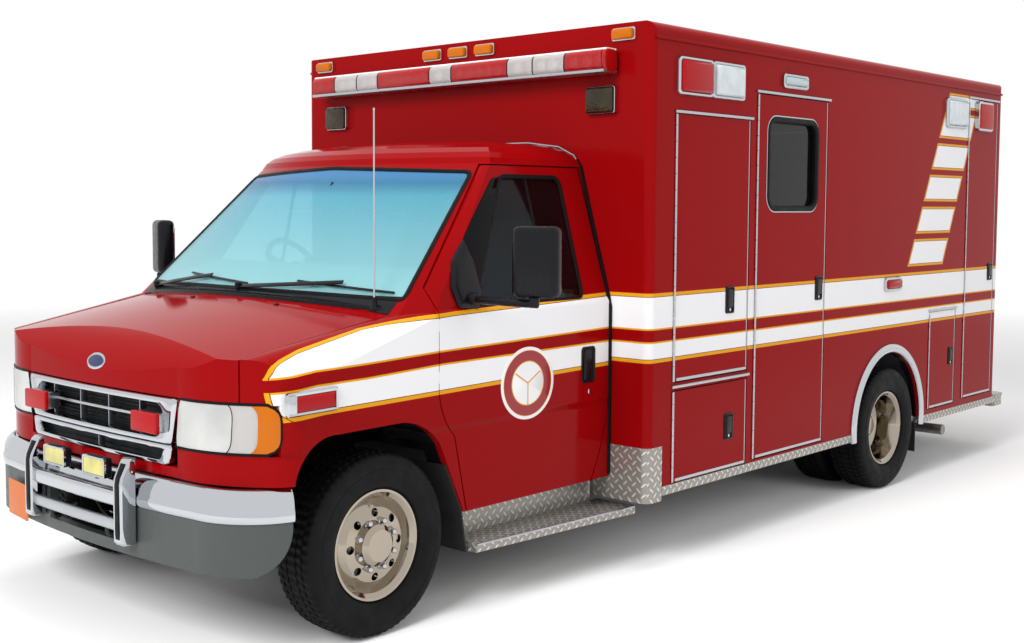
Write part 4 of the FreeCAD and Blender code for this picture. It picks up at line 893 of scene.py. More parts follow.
        lining = tree.add("Math", lining, under, operation="MULTIPLY")
        board = tree.add("Mix", box, linear("#26272a"), linear("#9a9ea2"), data_type="RGBA")
        # The near black in the arches is painted shade of the wheel wells; board and lining are
        # the inside's own colours.
        for share, shade in ((lining, board), (arch, linear("#121214"))):
            share = tree.add("Math", within, share, operation="MULTIPLY")
            colour = tree.add("Mix", share, colour, shade, data_type="RGBA")
        return colour

    def bump_of(self, tree: Tree) -> bpy.types.Node:
        """The soft crease that is pressed along the cab's doors and fenders.

        Args:
            tree: the material's.

        Returns:
            The node that makes it.
        """
        place = tree.add("SeparateXYZ", tree.add("TexCoord").outputs["Object"])
        fold = tree.add("MapRange", {"Value": place.outputs[2], "From Min": 0.775,
                                     "From Max": 0.812}, interpolation_type="SMOOTHSTEP")
        cab = tree.add("Math", place.outputs[1], at_y(1.45), operation="LESS_THAN")
        height = tree.add("Math", fold, cab, operation="MULTIPLY")
        return tree.add("Bump", {"Height": height, "Distance": 0.01, "Strength": 1.0})

    def with_ladder(self, tree: Tree, colour: Source, behind: Source, x: Source,
                    z: Source) -> Source:
        """Lays the leaning column of white, gold-edged blocks over the colour.

        Args:
            tree: the material's.
            colour: what is under them.
            behind: distance behind the front axle.
            x: distance from the middle.
            z: height.

        Returns:
            The new colour.
        """
        rise = tree.add("Math", z, self.FOOT, operation="SUBTRACT")
        front, rear = (tree.add("Math", rise, *edge, operation="MULTIPLY_ADD")
                       for edge in (self.FRONT_EDGE, self.REAR_EDGE))
        step = tree.add("Math", rise, self.PITCH, 0.0, operation="WRAP")
        edges = [tree.add("Math", behind, front, operation="SUBTRACT"),
                 tree.add("Math", rear, behind, operation="SUBTRACT"),
                 step, tree.add("Math", self.TALL, step, operation="SUBTRACT"),
                 rise, tree.add("Math", self.CREST, z, operation="SUBTRACT")]
        depth = edges[0]
        for edge in edges[1:]:
            depth = tree.add("Math", depth, edge, operation="MINIMUM")
        outside = tree.add("Math", x, self.OUTSIDE, operation="GREATER_THAN")
        for inset, shade in zip((0.0, *self.INSETS), (self.gold, self.line, self.white)):
            share = tree.add("Math", depth, inset, operation="GREATER_THAN")
            share = tree.add("Math", share, outside, operation="MULTIPLY")
            colour = tree.add("Mix", share, colour, linear(shade), data_type="RGBA")
        return colour


class Paint(Enum):
    """Every finish on the vehicle, by what it is in the real one."""

    # Sprayed two-pack lacquer: a deep red that stays even, with a sharp thin reflection.
    RED = Coachwork("red_coach_lacquer", "#8a0609", roughness=0.1, grain=0.05, uneven=0.03,
                    specular=0.05)
    # The same lacquer where white reflective blocks climb the panel.
    RED_SIDE = Coachwork("red_coach_lacquer_with_ladder", "#8a0609", roughness=0.1, grain=0.05,
                         uneven=0.03, specular=0.05, ladder=True)
    # The same lacquer with no tape on it, as on hood and roof.
    PLAIN_RED = Coachwork("red_coach_lacquer_bare", "#8a0609", roughness=0.1, grain=0.05,
                          uneven=0.03, specular=0.05, bands=False)
    # Plated and buffed steel: a cool mirror that smears only a little.
    CHROME = Finish("polished_chrome", "#c3c6ca", 0.06, 1.0, grain=0.02, uneven=0.03)
    # Forged alloy, buffed by hand: a warm mirror, softer than chrome.
    ALLOY = Finish("polished_alloy_wheel", "#a89f91", 0.1, 1.0, grain=0.02, uneven=0.05)
    # Extruded aluminium with a satin finish: wide soft highlights along each strip.
    BRIGHT = Finish("satin_aluminium_trim", "#b9bdc1", 0.3, 1.0, grain=0.01, uneven=0.07)
    # Rolled tread plate: crossing bars paler than the duller ground between them.
    CHECKER = TreadPlate("aluminium_tread_plate", "#98958f", 0.36, 0.55, grain=0.02, uneven=0.05,
                         dent=0.003)
    # Mill-finish sheet: a soft grey sheen that wanders.
    LINING = Finish("mill_aluminium_sheet", "#b8bcc0", 0.38, 0.9, grain=0.015, uneven=0.08)
    # Moulded rubber: near black and matt, faintly blotched by dust.
    TYRE = Finish("tyre_rubber", "#050608", 0.66, grain=0.004, uneven=0.08, dent=0.0003,
                  mottle=0.2, specular=0.2)
    # Extruded seal rubber: black with a dull edge of light.
    RUBBER = Finish("black_seal_rubber", "#0a0b0d", 0.5, grain=0.003, uneven=0.08, specular=0.15)
    # Moulded rubber sheet, a little greyer and fine-grained.
    FLAP = Finish("moulded_flap_rubber", "#1b1c1e", 0.7, grain=0.004, uneven=0.1, dent=0.0003)
    # Brushed frame enamel: black, half gloss, uneven where it ran thin.
    CHASSIS = Finish("black_frame_enamel", "#17181a", 0.45, grain=0.012, uneven=0.1, mottle=0.2)
    # Cast iron under thin paint: dark grey and pitted.
    IRON = Finish("painted_cast_iron", "#35373a", 0.55, 0.3, grain=0.006, uneven=0.1,
                  dent=0.0005, mottle=0.25)
    # Aluminised steel tube: dull silver, stained by heat.
    EXHAUST = Finish("aluminised_exhaust_steel", "#8d8a85", 0.42, 0.9, grain=0.01, uneven=0.1,
                     mottle=0.3)
    # Rotation-moulded tank: black with a fine orange-peel face.
    TANK = Finish("black_moulded_tank", "#1c1d1f", 0.5, grain=0.006, uneven=0.08, dent=0.0003)
    # Injection-moulded plastic with a spark-eroded grain: black satin.
    PLASTIC = Finish("black_moulded_plastic", "#0c0d11", 0.3, grain=0.002, uneven=0.07,
                     dent=0.0001, specular=0.22)
    # Moulded skirt, grained and unpainted: an even mid grey.
    VALANCE = Finish("grey_moulded_valance", "#414645", 0.42, grain=0.002, uneven=0.06,
                     dent=0.0001)
    # Soft-grained dash moulding: pale grey with no gloss.
    DASH = Finish("grey_dash_moulding", "#8f9094", 0.6, grain=0.0015, uneven=0.05, dent=0.00015)
    # Coated seat cloth: grey, grained, with a faint soft rim.
    VINYL = Finish("grey_seat_vinyl", "#5b5f66", 0.5, grain=0.002, uneven=0.07, dent=0.0002,
                   sheen=0.15)
    # Calendered floor vinyl: flat grey, lightly mottled.
    FLOOR = Finish("grey_floor_vinyl", "#77797c", 0.55, grain=0.004, uneven=0.07, mottle=0.2)
    # Gloss white moulding.
    WHITE = Finish("white_moulded_plastic", "#e6e7e8", 0.35, grain=0.004, uneven=0.05)
    # Painted sheet plate, left blank.
    PLATE = Finish("orange_blank_plate", "#c4641c", 0.4, grain=0.01, uneven=0.05)
    # Toughened side glass with a clear reflection; its nearly black share is painted shade of the
    # dark cab behind it.
    PANE = Glass("clear_side_glass", "#0a0c0f", 0.03, specular=0.25, tint=0.62)
    # Privacy glass: darker still, so that little behind it shows.
    DARK_PANE = Glass("tinted_box_glass", "#0a0b0d", 0.03, specular=0.25, tint=0.22)
    # Laminated glass under a blue sun band; its green-blue body, which pales towards the foot, is
    # painted sky reflection.
    SCREEN = Shade("laminated_screen_glass", "#66b6cc", 0.03, tint=0.66)
    # Silvered glass: a plain mirror.
    MIRROR = Finish("silvered_mirror_glass", "#f2f4f6", 0.02, 1.0)
    # Pressed lamp glass: milky and rippled, the bowl only hinted at behind it.
    HEADLAMP = Glass("fluted_headlamp_glass", "#dddedb", 0.08, grain=0.03, uneven=0.05,
                     dent=0.002, mottle=0.3, tint=0.3)
    # Metallised corner reflector seen through its lens: broken greys, painted shade and reflection
    # in the lamp's depth.
    CORNER = Finish("smoked_corner_reflector", "#79858d", 0.22, 0.5, grain=0.02, mottle=0.4)
    # Fired black enamel on the edge of a pane.
    BLACKED = Finish("black_edge_enamel", "#050608", 0.12, specular=0.12)
    # Matt black core paint: the depth behind the grille.
    RADIATOR = Finish("black_radiator_core", "#0c0d0f", 0.6, grain=0.004, uneven=0.08)
    # Moulded acrylic lens over an unlit lamp: saturated deep red.
    RED_LENS = Finish("red_lamp_lens", "#a10a10", 0.1, grain=0.004, uneven=0.03, dent=0.0004,
                      specular=0.2)
    # Clear-cast red dome: its cups glint through it.
    RED_BEACON = Glass("red_beacon_dome", "#a80a0c", 0.07, grain=0.012, dent=0.001, tint=0.2)
    # Clear-cast dome: pale, with its cups glinting through.
    CLEAR_BEACON = Glass("clear_beacon_dome", "#cfcbc9", 0.07, grain=0.012, dent=0.001, tint=0.45)
    # Fluted clear lens: pale grey with soft upright ripples.
    CLEAR_LAMP = Finish("clear_fluted_lamp_lens", "#cdd5d8", 0.12, grain=0.006, uneven=0.04,
                        dent=0.0006, mottle=0.12)
    # Moulded amber acrylic.
    AMBER = Finish("amber_lamp_lens", "#b96206", 0.12, grain=0.004, uneven=0.03, dent=0.0003,
                   specular=0.2)
    # Pressed yellow lamp glass, blotched by its reflector.
    FOG = Finish("yellow_fog_lens", "#cfc878", 0.12, grain=0.012, uneven=0.03, mottle=0.3)
    # Vacuum-metallised bowl: a bright soft mirror.
    REFLECTOR = Finish("vacuum_metal_reflector", "#dfe3e6", 0.12, 1.0)
    # Fluted floodlamp glass: cool grey-green.
    SCENE_LENS = Finish("fluted_scene_lamp_glass", "#a9bcbe", 0.12, grain=0.004, uneven=0.04,
                        coat=0.5)
    # Lamp glass over a reflector: dark brown with black patches, painted reflection in the
    # reflector behind it.
    FLOOD_LENS = Finish("smoked_flood_lamp_glass", "#3a2f1a", 0.06, 0.3, grain=0.02, uneven=0.03,
                        dent=0.004, mottle=0.5)
    # Gold vinyl, cut and rolled on.
    GOLD_DECAL = Finish("gold_vinyl_decal", "#d9971f", 0.3, grain=0.01, uneven=0.03)
    # Maroon vinyl.
    RED_DECAL = Finish("maroon_vinyl_decal", "#8f1a20", 0.3, grain=0.01, uneven=0.03)
    # White vinyl.
    WHITE_DECAL = Finish("white_vinyl_decal", "#e4e4e6", 0.3, grain=0.01, uneven=0.03)
    # Fired enamel in a pressed badge, left bare.
    EMBLEM = Finish("blue_emblem_enamel", "#1c2950", 0.25, grain=0.01, uneven=0.03)

    @property
    def material(self) -> bpy.types.Material:
        """The material, built the first time that it is asked for."""
        return bpy.data.materials.get(self.value.name) or self.value.build()


# ------------------------------------------------------------------ putting pieces in the scene
Parts = list[tuple[Shape, Paint]]


def piece(name: str, parts: Parts, body: str = "chassis", replaces: tuple[str, ...] = (),
          sharp: float = 35.0) -> bpy.types.Object:
    """Makes one object out of shapes that each have a finish.

    Args:
        name: the object's.
        parts: shapes with their finishes.
        body: the CAD body that it rides on.
        replaces: CAD nodes that it stands for.
        sharp: degrees between two faces above which their edge stays sharp.

    Returns:
        The finished object.
    """
    whole = joined([shape for shape, _ in parts])
    mesh = bpy.data.meshes.new(name)
    mesh.from_pydata(whole.points.tolist(), [], [row for f in whole.faces for row in f.tolist()])
    paints = list(dict.fromkeys(paint for _, paint in parts))
    counts = [sum(len(f) for f in shape.faces) for shape, _ in parts]
    numbers = np.repeat([paints.index(paint) for _, paint in parts], counts)
    mesh.polygons.foreach_set("material_index", numbers.astype(np.int32))
    for paint in paints:
        mesh.materials.append(paint.material)
    work = bmesh.new()
    work.from_mesh(mesh)
    bmesh.ops.remove_doubles(work, verts=work.verts, dist=1e-6)
    bmesh.ops.dissolve_degenerate(work, edges=work.edges, dist=1e-6)
    bmesh.ops.recalc_face_normals(work, faces=work.faces)
    work.to_mesh(mesh)
    work.free()
    mesh.polygons.foreach_set("use_smooth", np.ones(len(mesh.polygons), bool))
    mesh.set_sharp_from_angle(angle=math.radians(sharp))
    thing = bpy.data.objects.new(name, mesh)
    bpy.context.scene.collection.objects.link(thing)
    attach(thing, body)
    if replaces:
        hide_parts(*replaces)
    LOG.info("%s: %d vertices, %d faces, rides %s", name, len(mesh.vertices),
             len(mesh.polygons), body)
    return thing


def pair(name: str, parts: Parts, body: str = "chassis", replaces: str = "",
         sharp: float = 35.0) -> None:
    """Makes a piece on the left side and its mirror image on the right.

    Args:
        name: the objects', without their side.
        parts: shapes with their finishes, as they stand on the left.
        body: the CAD body that they ride on, with {} for the side's word.
        replaces: the CAD node of each side, with {} for the side's word, or the one node that
            both stand for, which the left piece replaces.
        sharp: degrees between two faces above which their edge stays sharp.
    """
    for side in Side:
        own = replaces and (side is Side.LEFT or "{}" in replaces)
        piece(f"{name}_{side.word}", [(shape.on(side), paint) for shape, paint in parts],
              body.format(side.word), (replaces.format(side.word),) if own else (), sharp)


@dataclass
class Wheels:
    """Tyres with tread, and the bright parts on each wheel.

    Attributes:
        ribs: tread blocks round a tyre.
        bead: radius where the tyre meets its rim.
        tyre_width: of one tyre.
        nuts: how many hold a wheel.
        nut_radius: of a nut, between its flats and its corners.
        front_seat: X of the face that a front wheel's nuts stand on.
        rear_seat: X of the same face on a rear wheel.
        front_circle: radius of the front nuts' circle.
        rear_circle: radius of the rear nuts' circle.
    """

    ribs: int = 64
    bead: float = 0.2055
    tyre_width: float = 0.223
    nuts: int = 8
    nut_radius: float = 0.0125
    front_seat: float = 0.953
    rear_seat: float = 0.9995
    front_circle: float = 0.0995
    rear_circle: float = 0.0875

    def tyre(self, inner: float, radius: float, y: float, z: float) -> Shape:
        """One tyre: a closed profile round the wheel's line, with its tread cut by blocks.

        Between two blocks the tread drops by a soft square wave of the angle, and the wave is
        half a block further on at each rib across, so the blocks stagger.

        Args:
            inner: X of the side nearest the middle of the vehicle.
            radius: outside radius.
            y: Y of the axle.
            z: Z of the axle.

        Returns:
            The tyre.
        """
        width, wall = self.tyre_width, radius - self.bead
        bead = [(0.186, 0.006), (0.16, 0.116), (0.1, 0.142), (0.07, 0.165), (0.034, 0.27),
                (0.006, 0.42), (0.0, 0.52), (0.002, 0.6), (0.01, 0.615), (0.01, 0.66),
                (0.006, 0.68), (0.028, 0.82), (0.052, 0.9), (0.058, 0.915)]
        crown = [(0.086, 0.955), (0.105, 0.972), (0.15, 0.984), (0.215, 0.99), (0.222, 0.945),
                 (0.242, 0.945), (0.25, 0.995), (0.365, 1.0), (0.372, 0.95), (0.392, 0.95),
                 (0.4, 1.0)]
        half = [(inner + width * a, self.bead + wall * b) for a, b in bead + crown]
        rows = np.array(half + [(2 * inner + width - x, r) for x, r in reversed(half)])
        angle = np.linspace(0, 2 * math.pi, self.ribs * 6, endpoint=False)
        lift = (rows[:, 1] - self.bead) / wall
        stagger = (np.abs(rows[:, 0] - inner - width / 2) > width * 0.27) * math.pi
        wave = 0.5 + np.tanh(6 * np.sin(angle[None, :] * self.ribs + stagger[:, None])) * 0.5
        depth = np.where(lift > 0.975, 0.0055, np.where(lift > 0.905, 0.004, 0.0))
        spread = rows[:, 1:] - depth[:, None] * wave
        points = np.stack([np.broadcast_to(rows[:, :1], spread.shape),
                           y + spread * np.cos(angle), z + spread * np.sin(angle)], -1)
        return surface(points, wrap_u=True, wrap_v=True)

    def nut(self) -> Shape:
        """A lug nut on its collar with a domed top: a profile of radii turned about X, whose
        middle rows are divided by the cosine that makes a hexagon.

        Returns:
            The nut, standing on the X = 0 plane.
        """
        rows = np.array([(0.0, 1.35, 0), (0.003, 1.35, 0), (0.004, 1.0, 1), (0.019, 1.0, 1),
                         (0.022, 0.93, 0), (0.026, 0.66, 0), (0.0285, 0.34, 0), (0.0295, 0.0, 0)])
        angle = np.linspace(0, 2 * math.pi, 24, endpoint=False)
        six = 0.9 / np.cos(angle % (math.pi / 3) - math.pi / 6)
        reach = self.nut_radius * rows[:, 1:2] * np.where(rows[:, 2:] > 0, six, 1.0)
        points = np.stack([np.broadcast_to(rows[:, :1], reach.shape), reach * np.cos(angle),
                           reach * np.sin(angle)], -1)
        return surface(points, wrap_v=True)

    def ring_of_nuts(self, seat: float, circle_radius: float, y: float, z: float) -> Shape:
        """The nuts of one wheel, evenly spaced on their circle.

        Args:
            seat: X of the face that they stand on.
            circle_radius: of the circle.
            y: Y of the axle.
            z: Z of the axle.

        Returns:
            All of them as one shape.
        """
        turns = (np.arange(self.nuts) + 0.5) * 2 * math.pi / self.nuts
        return joined([self.nut().moved(seat, y + circle_radius * math.cos(a),
                                        z + circle_radius * math.sin(a)) for a in turns])

    def build(self) -> None:
        """Makes the tyres and nuts of all four corners."""
        front, rear = Span.of("front_tyre_left"), Span.of("rear_tyres_left")
        radius = (front.high.z - front.low.z) / 2
        for side in Side:
            y, z = front.middle.y, front.middle.z
            body = f"wheel_front_{side.word}"
            tyre = self.tyre(front.low.x, radius, y, z)
            piece(f"tyre_front_{side.word}", [(tyre.on(side), Paint.TYRE)], body,
                  (f"front_tyre_{side.word}",), 28)
            nuts = self.ring_of_nuts(self.front_seat, self.front_circle, y, z)
            piece(f"nuts_front_{side.word}", [(nuts.on(side), Paint.CHROME)], body)
            y, z = rear.middle.y, rear.middle.z
            body = f"wheels_rear_{side.word}"
            twins = joined([self.tyre(x, radius, y, z)
                            for x in (rear.low.x, rear.high.x - self.tyre_width)])
            piece(f"tyres_rear_{side.word}", [(twins.on(side), Paint.TYRE)], body,
                  (f"rear_tyres_{side.word}",), 28)
            nuts = self.ring_of_nuts(self.rear_seat, self.rear_circle, y, z)
            piece(f"nuts_rear_{side.word}", [(nuts.on(side), Paint.CHROME)], body)


class CabForm:
    """Where the cab's outer faces are, in metres behind the front axle, X and Z."""

    BELT, EDGE = 1.27, 1.905
    PLAN = np.vstack([arc_through((0.0, -0.672), (0.28, -0.6665), (0.56, -0.65)),
                      arc_through((0.56, -0.65), (0.78, -0.612), (0.92, -0.525)),
                      arc_through((0.92, -0.525), (0.975, -0.47), (1.0, -0.39))])

    @staticmethod
    def screen(x: Numbers, z: Numbers) -> Numbers:
        """The windscreen's distance behind the axle: an arc in plan whose ends and middle both
        lean back with height.

        Args:
            x: X, one or an array.
            z: Z, one or an array.

        Returns:
            The distance.
        """
        t = (z - CabForm.BELT) / (CabForm.EDGE - CabForm.BELT)
        middle, end, at = 0.02 + 0.617 * t, 0.15 + 0.65 * t, 0.935 - 0.17 * t
        sag = end - middle
        bend = (at ** 2 + sag ** 2) / (2 * sag)
        return middle + bend - np.sqrt(bend ** 2 - np.minimum(np.abs(x), at) ** 2)

    @staticmethod
    def side(z: Numbers) -> Numbers:
        """The glasshouse side's X at a height: it leans in from the belt to the roof edge."""
        lean = np.maximum((z - CabForm.BELT) / (CabForm.EDGE - CabForm.BELT), 0)
        return 0.99 - 0.175 * lean

    @staticmethod
    def nose(x: Numbers) -> Numbers:
        """The nose's distance behind the axle: three arcs, each tighter than the last."""
        return np.interp(np.abs(x), CabForm.PLAN[:, 0], CabForm.PLAN[:, 1])

    @staticmethod
    def over_nose(x: Numbers, z: Numbers, out: Numbers) -> np.ndarray:
        """Points on the nose, pushed out along its normal in plan.

        Args:
            x: X, an array.
            z: Z, an array of the same shape.
            out: how far before the nose, one or an array.

        Returns:
            The points in the row frame.
        """
        slope = np.gradient(CabForm.PLAN, axis=0)
        slope /= np.linalg.norm(slope, axis=1, keepdims=True)
        across = np.interp(np.abs(x), CabForm.PLAN[:, 0], slope[:, 1])
        along = np.interp(np.abs(x), CabForm.PLAN[:, 0], slope[:, 0])
        return on_car(np.stack([x + np.sign(x) * across * out, CabForm.nose(x) - along * out,
                                np.broadcast_to(z, np.shape(x))], -1))

    @staticmethod
    def hood(x: Numbers, y: Numbers) -> Numbers:
        """The hood's height: an arc across, whose seam and crown both rise towards the cowl.

        Args:
            x: X.
            y: distance behind the front axle.

        Returns:
            The height.
        """
        t = (y + 0.7) / 1.01
        seam_x, seam, crown = 0.83 + 0.06 * t, 1.126 + 0.176 * t, 1.176 + 0.19 * t
        return crown - (crown - seam) * (x / seam_x) ** 2


def on_car(points: np.ndarray | list) -> np.ndarray:
    """Points given as X, distance behind the front axle and Z, as row points."""
    return np.array(points, float) + np.array([0.0, FRONT_AXLE_Y, 0.0])


@dataclass
class FrontEnd:
    """Grille, lamps, badge, push guards and plate.

    Attributes:
        lens_low: Z of the headlamps' foot.
        lens_high: Z of their top.
        depth: how far the grille's openings reach back.
    """

    lens_low: float = 0.796
    lens_high: float = 0.983
    depth: float = 0.052

    @staticmethod
    def smooth(corners: list[Place], radius: float, extra: int = 0) -> np.ndarray:
        """A polygon with each corner cut by a short quarter curve.

        Args:
            corners: anticlockwise, in front view.
            radius: how far from the corner the curve starts.
            extra: points added evenly along each straight side.

        Returns:
            The outline.
        """
        p = np.array(corners, float)
        before, after = np.roll(p, 1, axis=0) - p, np.roll(p, -1, axis=0) - p
        before *= radius / np.linalg.norm(before, axis=1, keepdims=True)
        after *= radius / np.linalg.norm(after, axis=1, keepdims=True)
        t = np.linspace(0, 1, 7)[None, :, None]
        curve = p[:, None] + before[:, None] * (1 - t) ** 2 + after[:, None] * t ** 2
        t = (np.arange(1, extra + 1) / (extra + 1))[None, :, None]
        side = curve[:, -1:] * (1 - t) + np.roll(curve[:, :1], -1, axis=0) * t
        return np.concatenate([curve, side], axis=1).reshape(-1, 2)

    def panel(self, opening: list[Place], outside: list[Place], radius: float) -> Shape:
        """A chrome frame between an opening and an outside line, laid on the nose: each ring
        lies a share of the way from one to the other.

        Args:
            opening: its inner corners, anticlockwise.
            outside: its outer corners.
            radius: of the opening's corners.

        Returns:
            The closed frame.
        """
        inner, outer = self.smooth(opening, radius, 14), self.smooth(outside, 0.022, 14)
        rings = [CabForm.over_nose(*(inner + (outer - inner) * share).T, ahead)
                 for share, ahead in ((0.0, -self.depth), (0.0, -0.006), (0.05, 0.004),
                                      (0.16, 0.009), (0.5, 0.011), (0.86, 0.009), (0.96, 0.004),
                                      (1.0, -0.006), (1.0, -0.02))]
        return surface(np.stack(rings), wrap_u=True, wrap_v=True)

    def grille(self) -> None:
        """A chrome frame round an oval of ten cells over a long slot, with dark depths."""
        chrome = [
            self.panel([(-0.462, 0.824), (0.462, 0.824), (0.474, 0.952), (-0.474, 0.952)],
                       [(-0.528, 0.801), (0.528, 0.801), (0.567, 0.981), (-0.567, 0.981)], 0.058),
            self.panel([(-0.452, 0.738), (0.452, 0.738), (0.48, 0.778), (-0.48, 0.778)],
                       [(-0.51, 0.719), (0.51, 0.719), (0.528, 0.8), (-0.528, 0.8)], 0.016)]
        x = np.linspace(-0.47, 0.47, 33)
        satin = [swept(CabForm.over_nose(x, np.full(33, 0.893), -0.03),
                       rounded((-0.018, -0.006), (0.018, 0.006), 0.003, 3), (0, 0, 1))]
        for at in (-0.368, -0.138, 0.082, 0.302):
            post = CabForm.over_nose(np.full(3, at), np.array([0.826, 0.89, 0.95]), -0.03)
            satin.append(swept(post, rounded((-0.002, -0.016), (0.002, 0.016), 0.001, 3),
                               (0, -1, 0)))
        low = CabForm.over_nose(np.full(3, 0.0), np.array([0.735, 0.76, 0.78]), -0.03)
        satin.append(swept(low, rounded((-0.002, -0.014), (0.002, 0.014), 0.001, 3), (0, -1, 0)))
        fins = [swept(CabForm.over_nose(x, np.full(33, z), -0.048),
                      rounded((-0.006, -0.0012), (0.006, 0.0012), 0.0008, 2), (0, 0, 1))
                for z in np.arange(0.836, 0.95, 0.0145)]
        back = plate(self.smooth([(-0.5, 0.722), (0.5, 0.722), (0.545, 0.952),
                                  (-0.545, 0.952)], 0.02), Axis.Y, at_y(-0.604), at_y(-0.612),
                     0.002)
        piece("grille_face", [(joined(chrome), Paint.CHROME), (joined(satin), Paint.BRIGHT),
                              (joined(fins), Paint.RADIATOR), (back, Paint.RADIATOR)],
              replaces=("grille",))

    def glass_grid(self, start: float, end: float, out: Numbers, bulge: float,
                   columns: int = 15) -> np.ndarray:
        """Points over the headlamp between two shares of its length.

        The near edge leans in towards its foot, and the far end is rounded: its X falls by
        the fifth power of the height's share.

        Args:
            start: share of the length where it starts.
            end: share where it ends.
            out: how far before the nose.
            bulge: how much more in the middle of the height.
            columns: points along the length.

        Returns:
            The grid, (length, height, 3).
        """
        v = np.linspace(-1, 1, 13)[None, :]
        share = np.linspace(start, end, columns)[:, None]
        left, right = 0.565 + 0.013 * v, 0.969 - 0.034 * np.abs(v) ** 5
        x = left + (right - left) * share
        z = (self.lens_low + self.lens_high) / 2 + v * (self.lens_high - self.lens_low) / 2
        return CabForm.over_nose(x, z, out + bulge * (1 - np.abs(v) ** 8))

    def glass_block(self, start: float, end: float, inner: float, outer: float,
                    bulge: float) -> Shape:
        """A closed slab of the lamp between two depths."""
        near, far = (self.glass_grid(start, end, *depth)
                     for depth in ((outer, bulge), (inner, 0.0)))
        return surface(np.concatenate([near, far[:, ::-1]], axis=1), wrap_v=True, capped=True)

    def headlamp(self) -> Parts:
        """One headlamp: fluted lens over a bright bowl, clear corner lamp and amber end.

        Returns:
            Shapes with their finishes, on the left side.
        """
        split, amber = 0.64, 0.845
        lens = self.glass_block(0.0, split, -0.006, 0.001, 0.004)
        wedge = self.glass_block(split, amber, -0.006, 0.001, 0.004)
        share = np.linspace(0.02, split - 0.02, 15)[:, None]
        v = np.linspace(-1, 1, 13)[None, :]
        cup = -0.016 - 0.06 * np.sqrt(np.clip(1 - (share / split * 2 - 1) ** 2, 0, 1)) * np.sqrt(
            1 - v ** 2)
        near = self.glass_grid(0.02, split - 0.02, cup, 0.0)
        far = self.glass_grid(0.02, split - 0.02, -0.08, 0.0)
        bowl = surface(np.concatenate([near, far[:, ::-1]], axis=1), wrap_v=True, capped=True)
        bulb = revolved([(-0.035, 0.0), (-0.035, 0.01), (-0.008, 0.011), (0.0, 0.006),
                         (0.001, 0.0)], Axis.Y, (0.69, at_y(-0.606), 0.886), 24)
        flutes = [swept(self.glass_grid(at, at + 0.01, -0.009, 0.0, 2)[0], circle(0.0016, 6),
                        (1, 0, 0)) for at in np.arange(0.03, split, 0.034)]
        corner = self.glass_block(split, amber, -0.04, -0.018, 0.0)
        end = self.glass_block(amber, 1.0, -0.02, 0.001, 0.004)
        edge = self.glass_grid(0.0, 1.0, -0.001, 0.0, 40)
        ring = np.vstack([edge[:, 0], edge[-1, 1:-1], edge[::-1, -1], edge[0, -2:0:-1]])
        seal = swept(ring, circle(0.0065, 8), (0.5, -0.8, 0.1), looped=True)
        bar = swept(self.glass_grid(split, 1.0, 0.001, 0.003, 2)[0], circle(0.0022, 8), (1, 0, 0))
        return [(lens, Paint.HEADLAMP), (wedge, Paint.CLEAR_BEACON),
                (joined([bowl, bulb]), Paint.REFLECTOR), (corner, Paint.CORNER),
                (joined(flutes), Paint.CLEAR_LAMP), (end, Paint.AMBER),
                (joined([seal, bar]), Paint.RUBBER)]

    def small_lamps(self) -> Parts:
        """The red lamp before the grille and the fog lamp on the bumper.

        Returns:
            Shapes with their finishes, on the left side.
        """
        low, high = (0.33, 0.842), (0.506, 0.922)
        red = plate(rounded(low, high, 0.009), Axis.Y, at_y(-0.696), at_y(-0.714), 0.006)
        case = plate(grown(rounded(low, high, 0.009), -0.003), Axis.Y, at_y(-0.64),
                     at_y(-0.697), 0.003)
        fog = rounded((0.072, 0.642), (0.236, 0.722), 0.01)
        housing = plate(fog, Axis.Y, at_y(-0.738), at_y(-0.768), 0.004, both=True)
        trim = bezel(grown(fog, -0.003), Axis.Y, [(0.003, at_y(-0.766)), (0.003, at_y(-0.775)),
                                                  (0.0, at_y(-0.777)), (-0.005, at_y(-0.775)),
                                                  (-0.005, at_y(-0.766))])
        glass = plate(grown(fog, -0.008), Axis.Y, at_y(-0.767), at_y(-0.7745), 0.003)
        foot = revolved([(0.0, 0.0), (0.0, 0.012), (0.012, 0.012), (0.012, 0.0)], Axis.Z,
                        (0.154, at_y(-0.752), 0.632), 16)
        return [(red, Paint.RED_LENS), (case, Paint.BRIGHT), (housing, Paint.PLASTIC),
                (trim, Paint.CHROME), (glass, Paint.FOG), (foot, Paint.PLASTIC)]

    def headlamps(self) -> None:
        """The lamps of both sides."""
        pair("front_lamps", self.headlamp() + self.small_lamps(), replaces="front_lamps")

    def badge(self) -> None:
        """A plain oval on the hood's nose: a bright rim round blue enamel, left bare."""
        oval = circle(0.066, 48, 0.52)
        rim = bezel(oval, Axis.Y, [(0.0, 0.0), (0.001, -0.004), (-0.004, -0.007),
                                   (-0.009, -0.005), (-0.01, 0.0)])
        blue = plate(grown(oval, -0.008), Axis.Y, 0.0, -0.0035, 0.001)
        where = (0.0, at_y(-0.659), 1.078)
        parts = [(shape.turned(Axis.X, -22, (0, 0, 0)).moved(*where), paint)
                 for shape, paint in ((rim, Paint.CHROME), (blue, Paint.EMBLEM))]
        piece("hood_badge", parts, "hood")

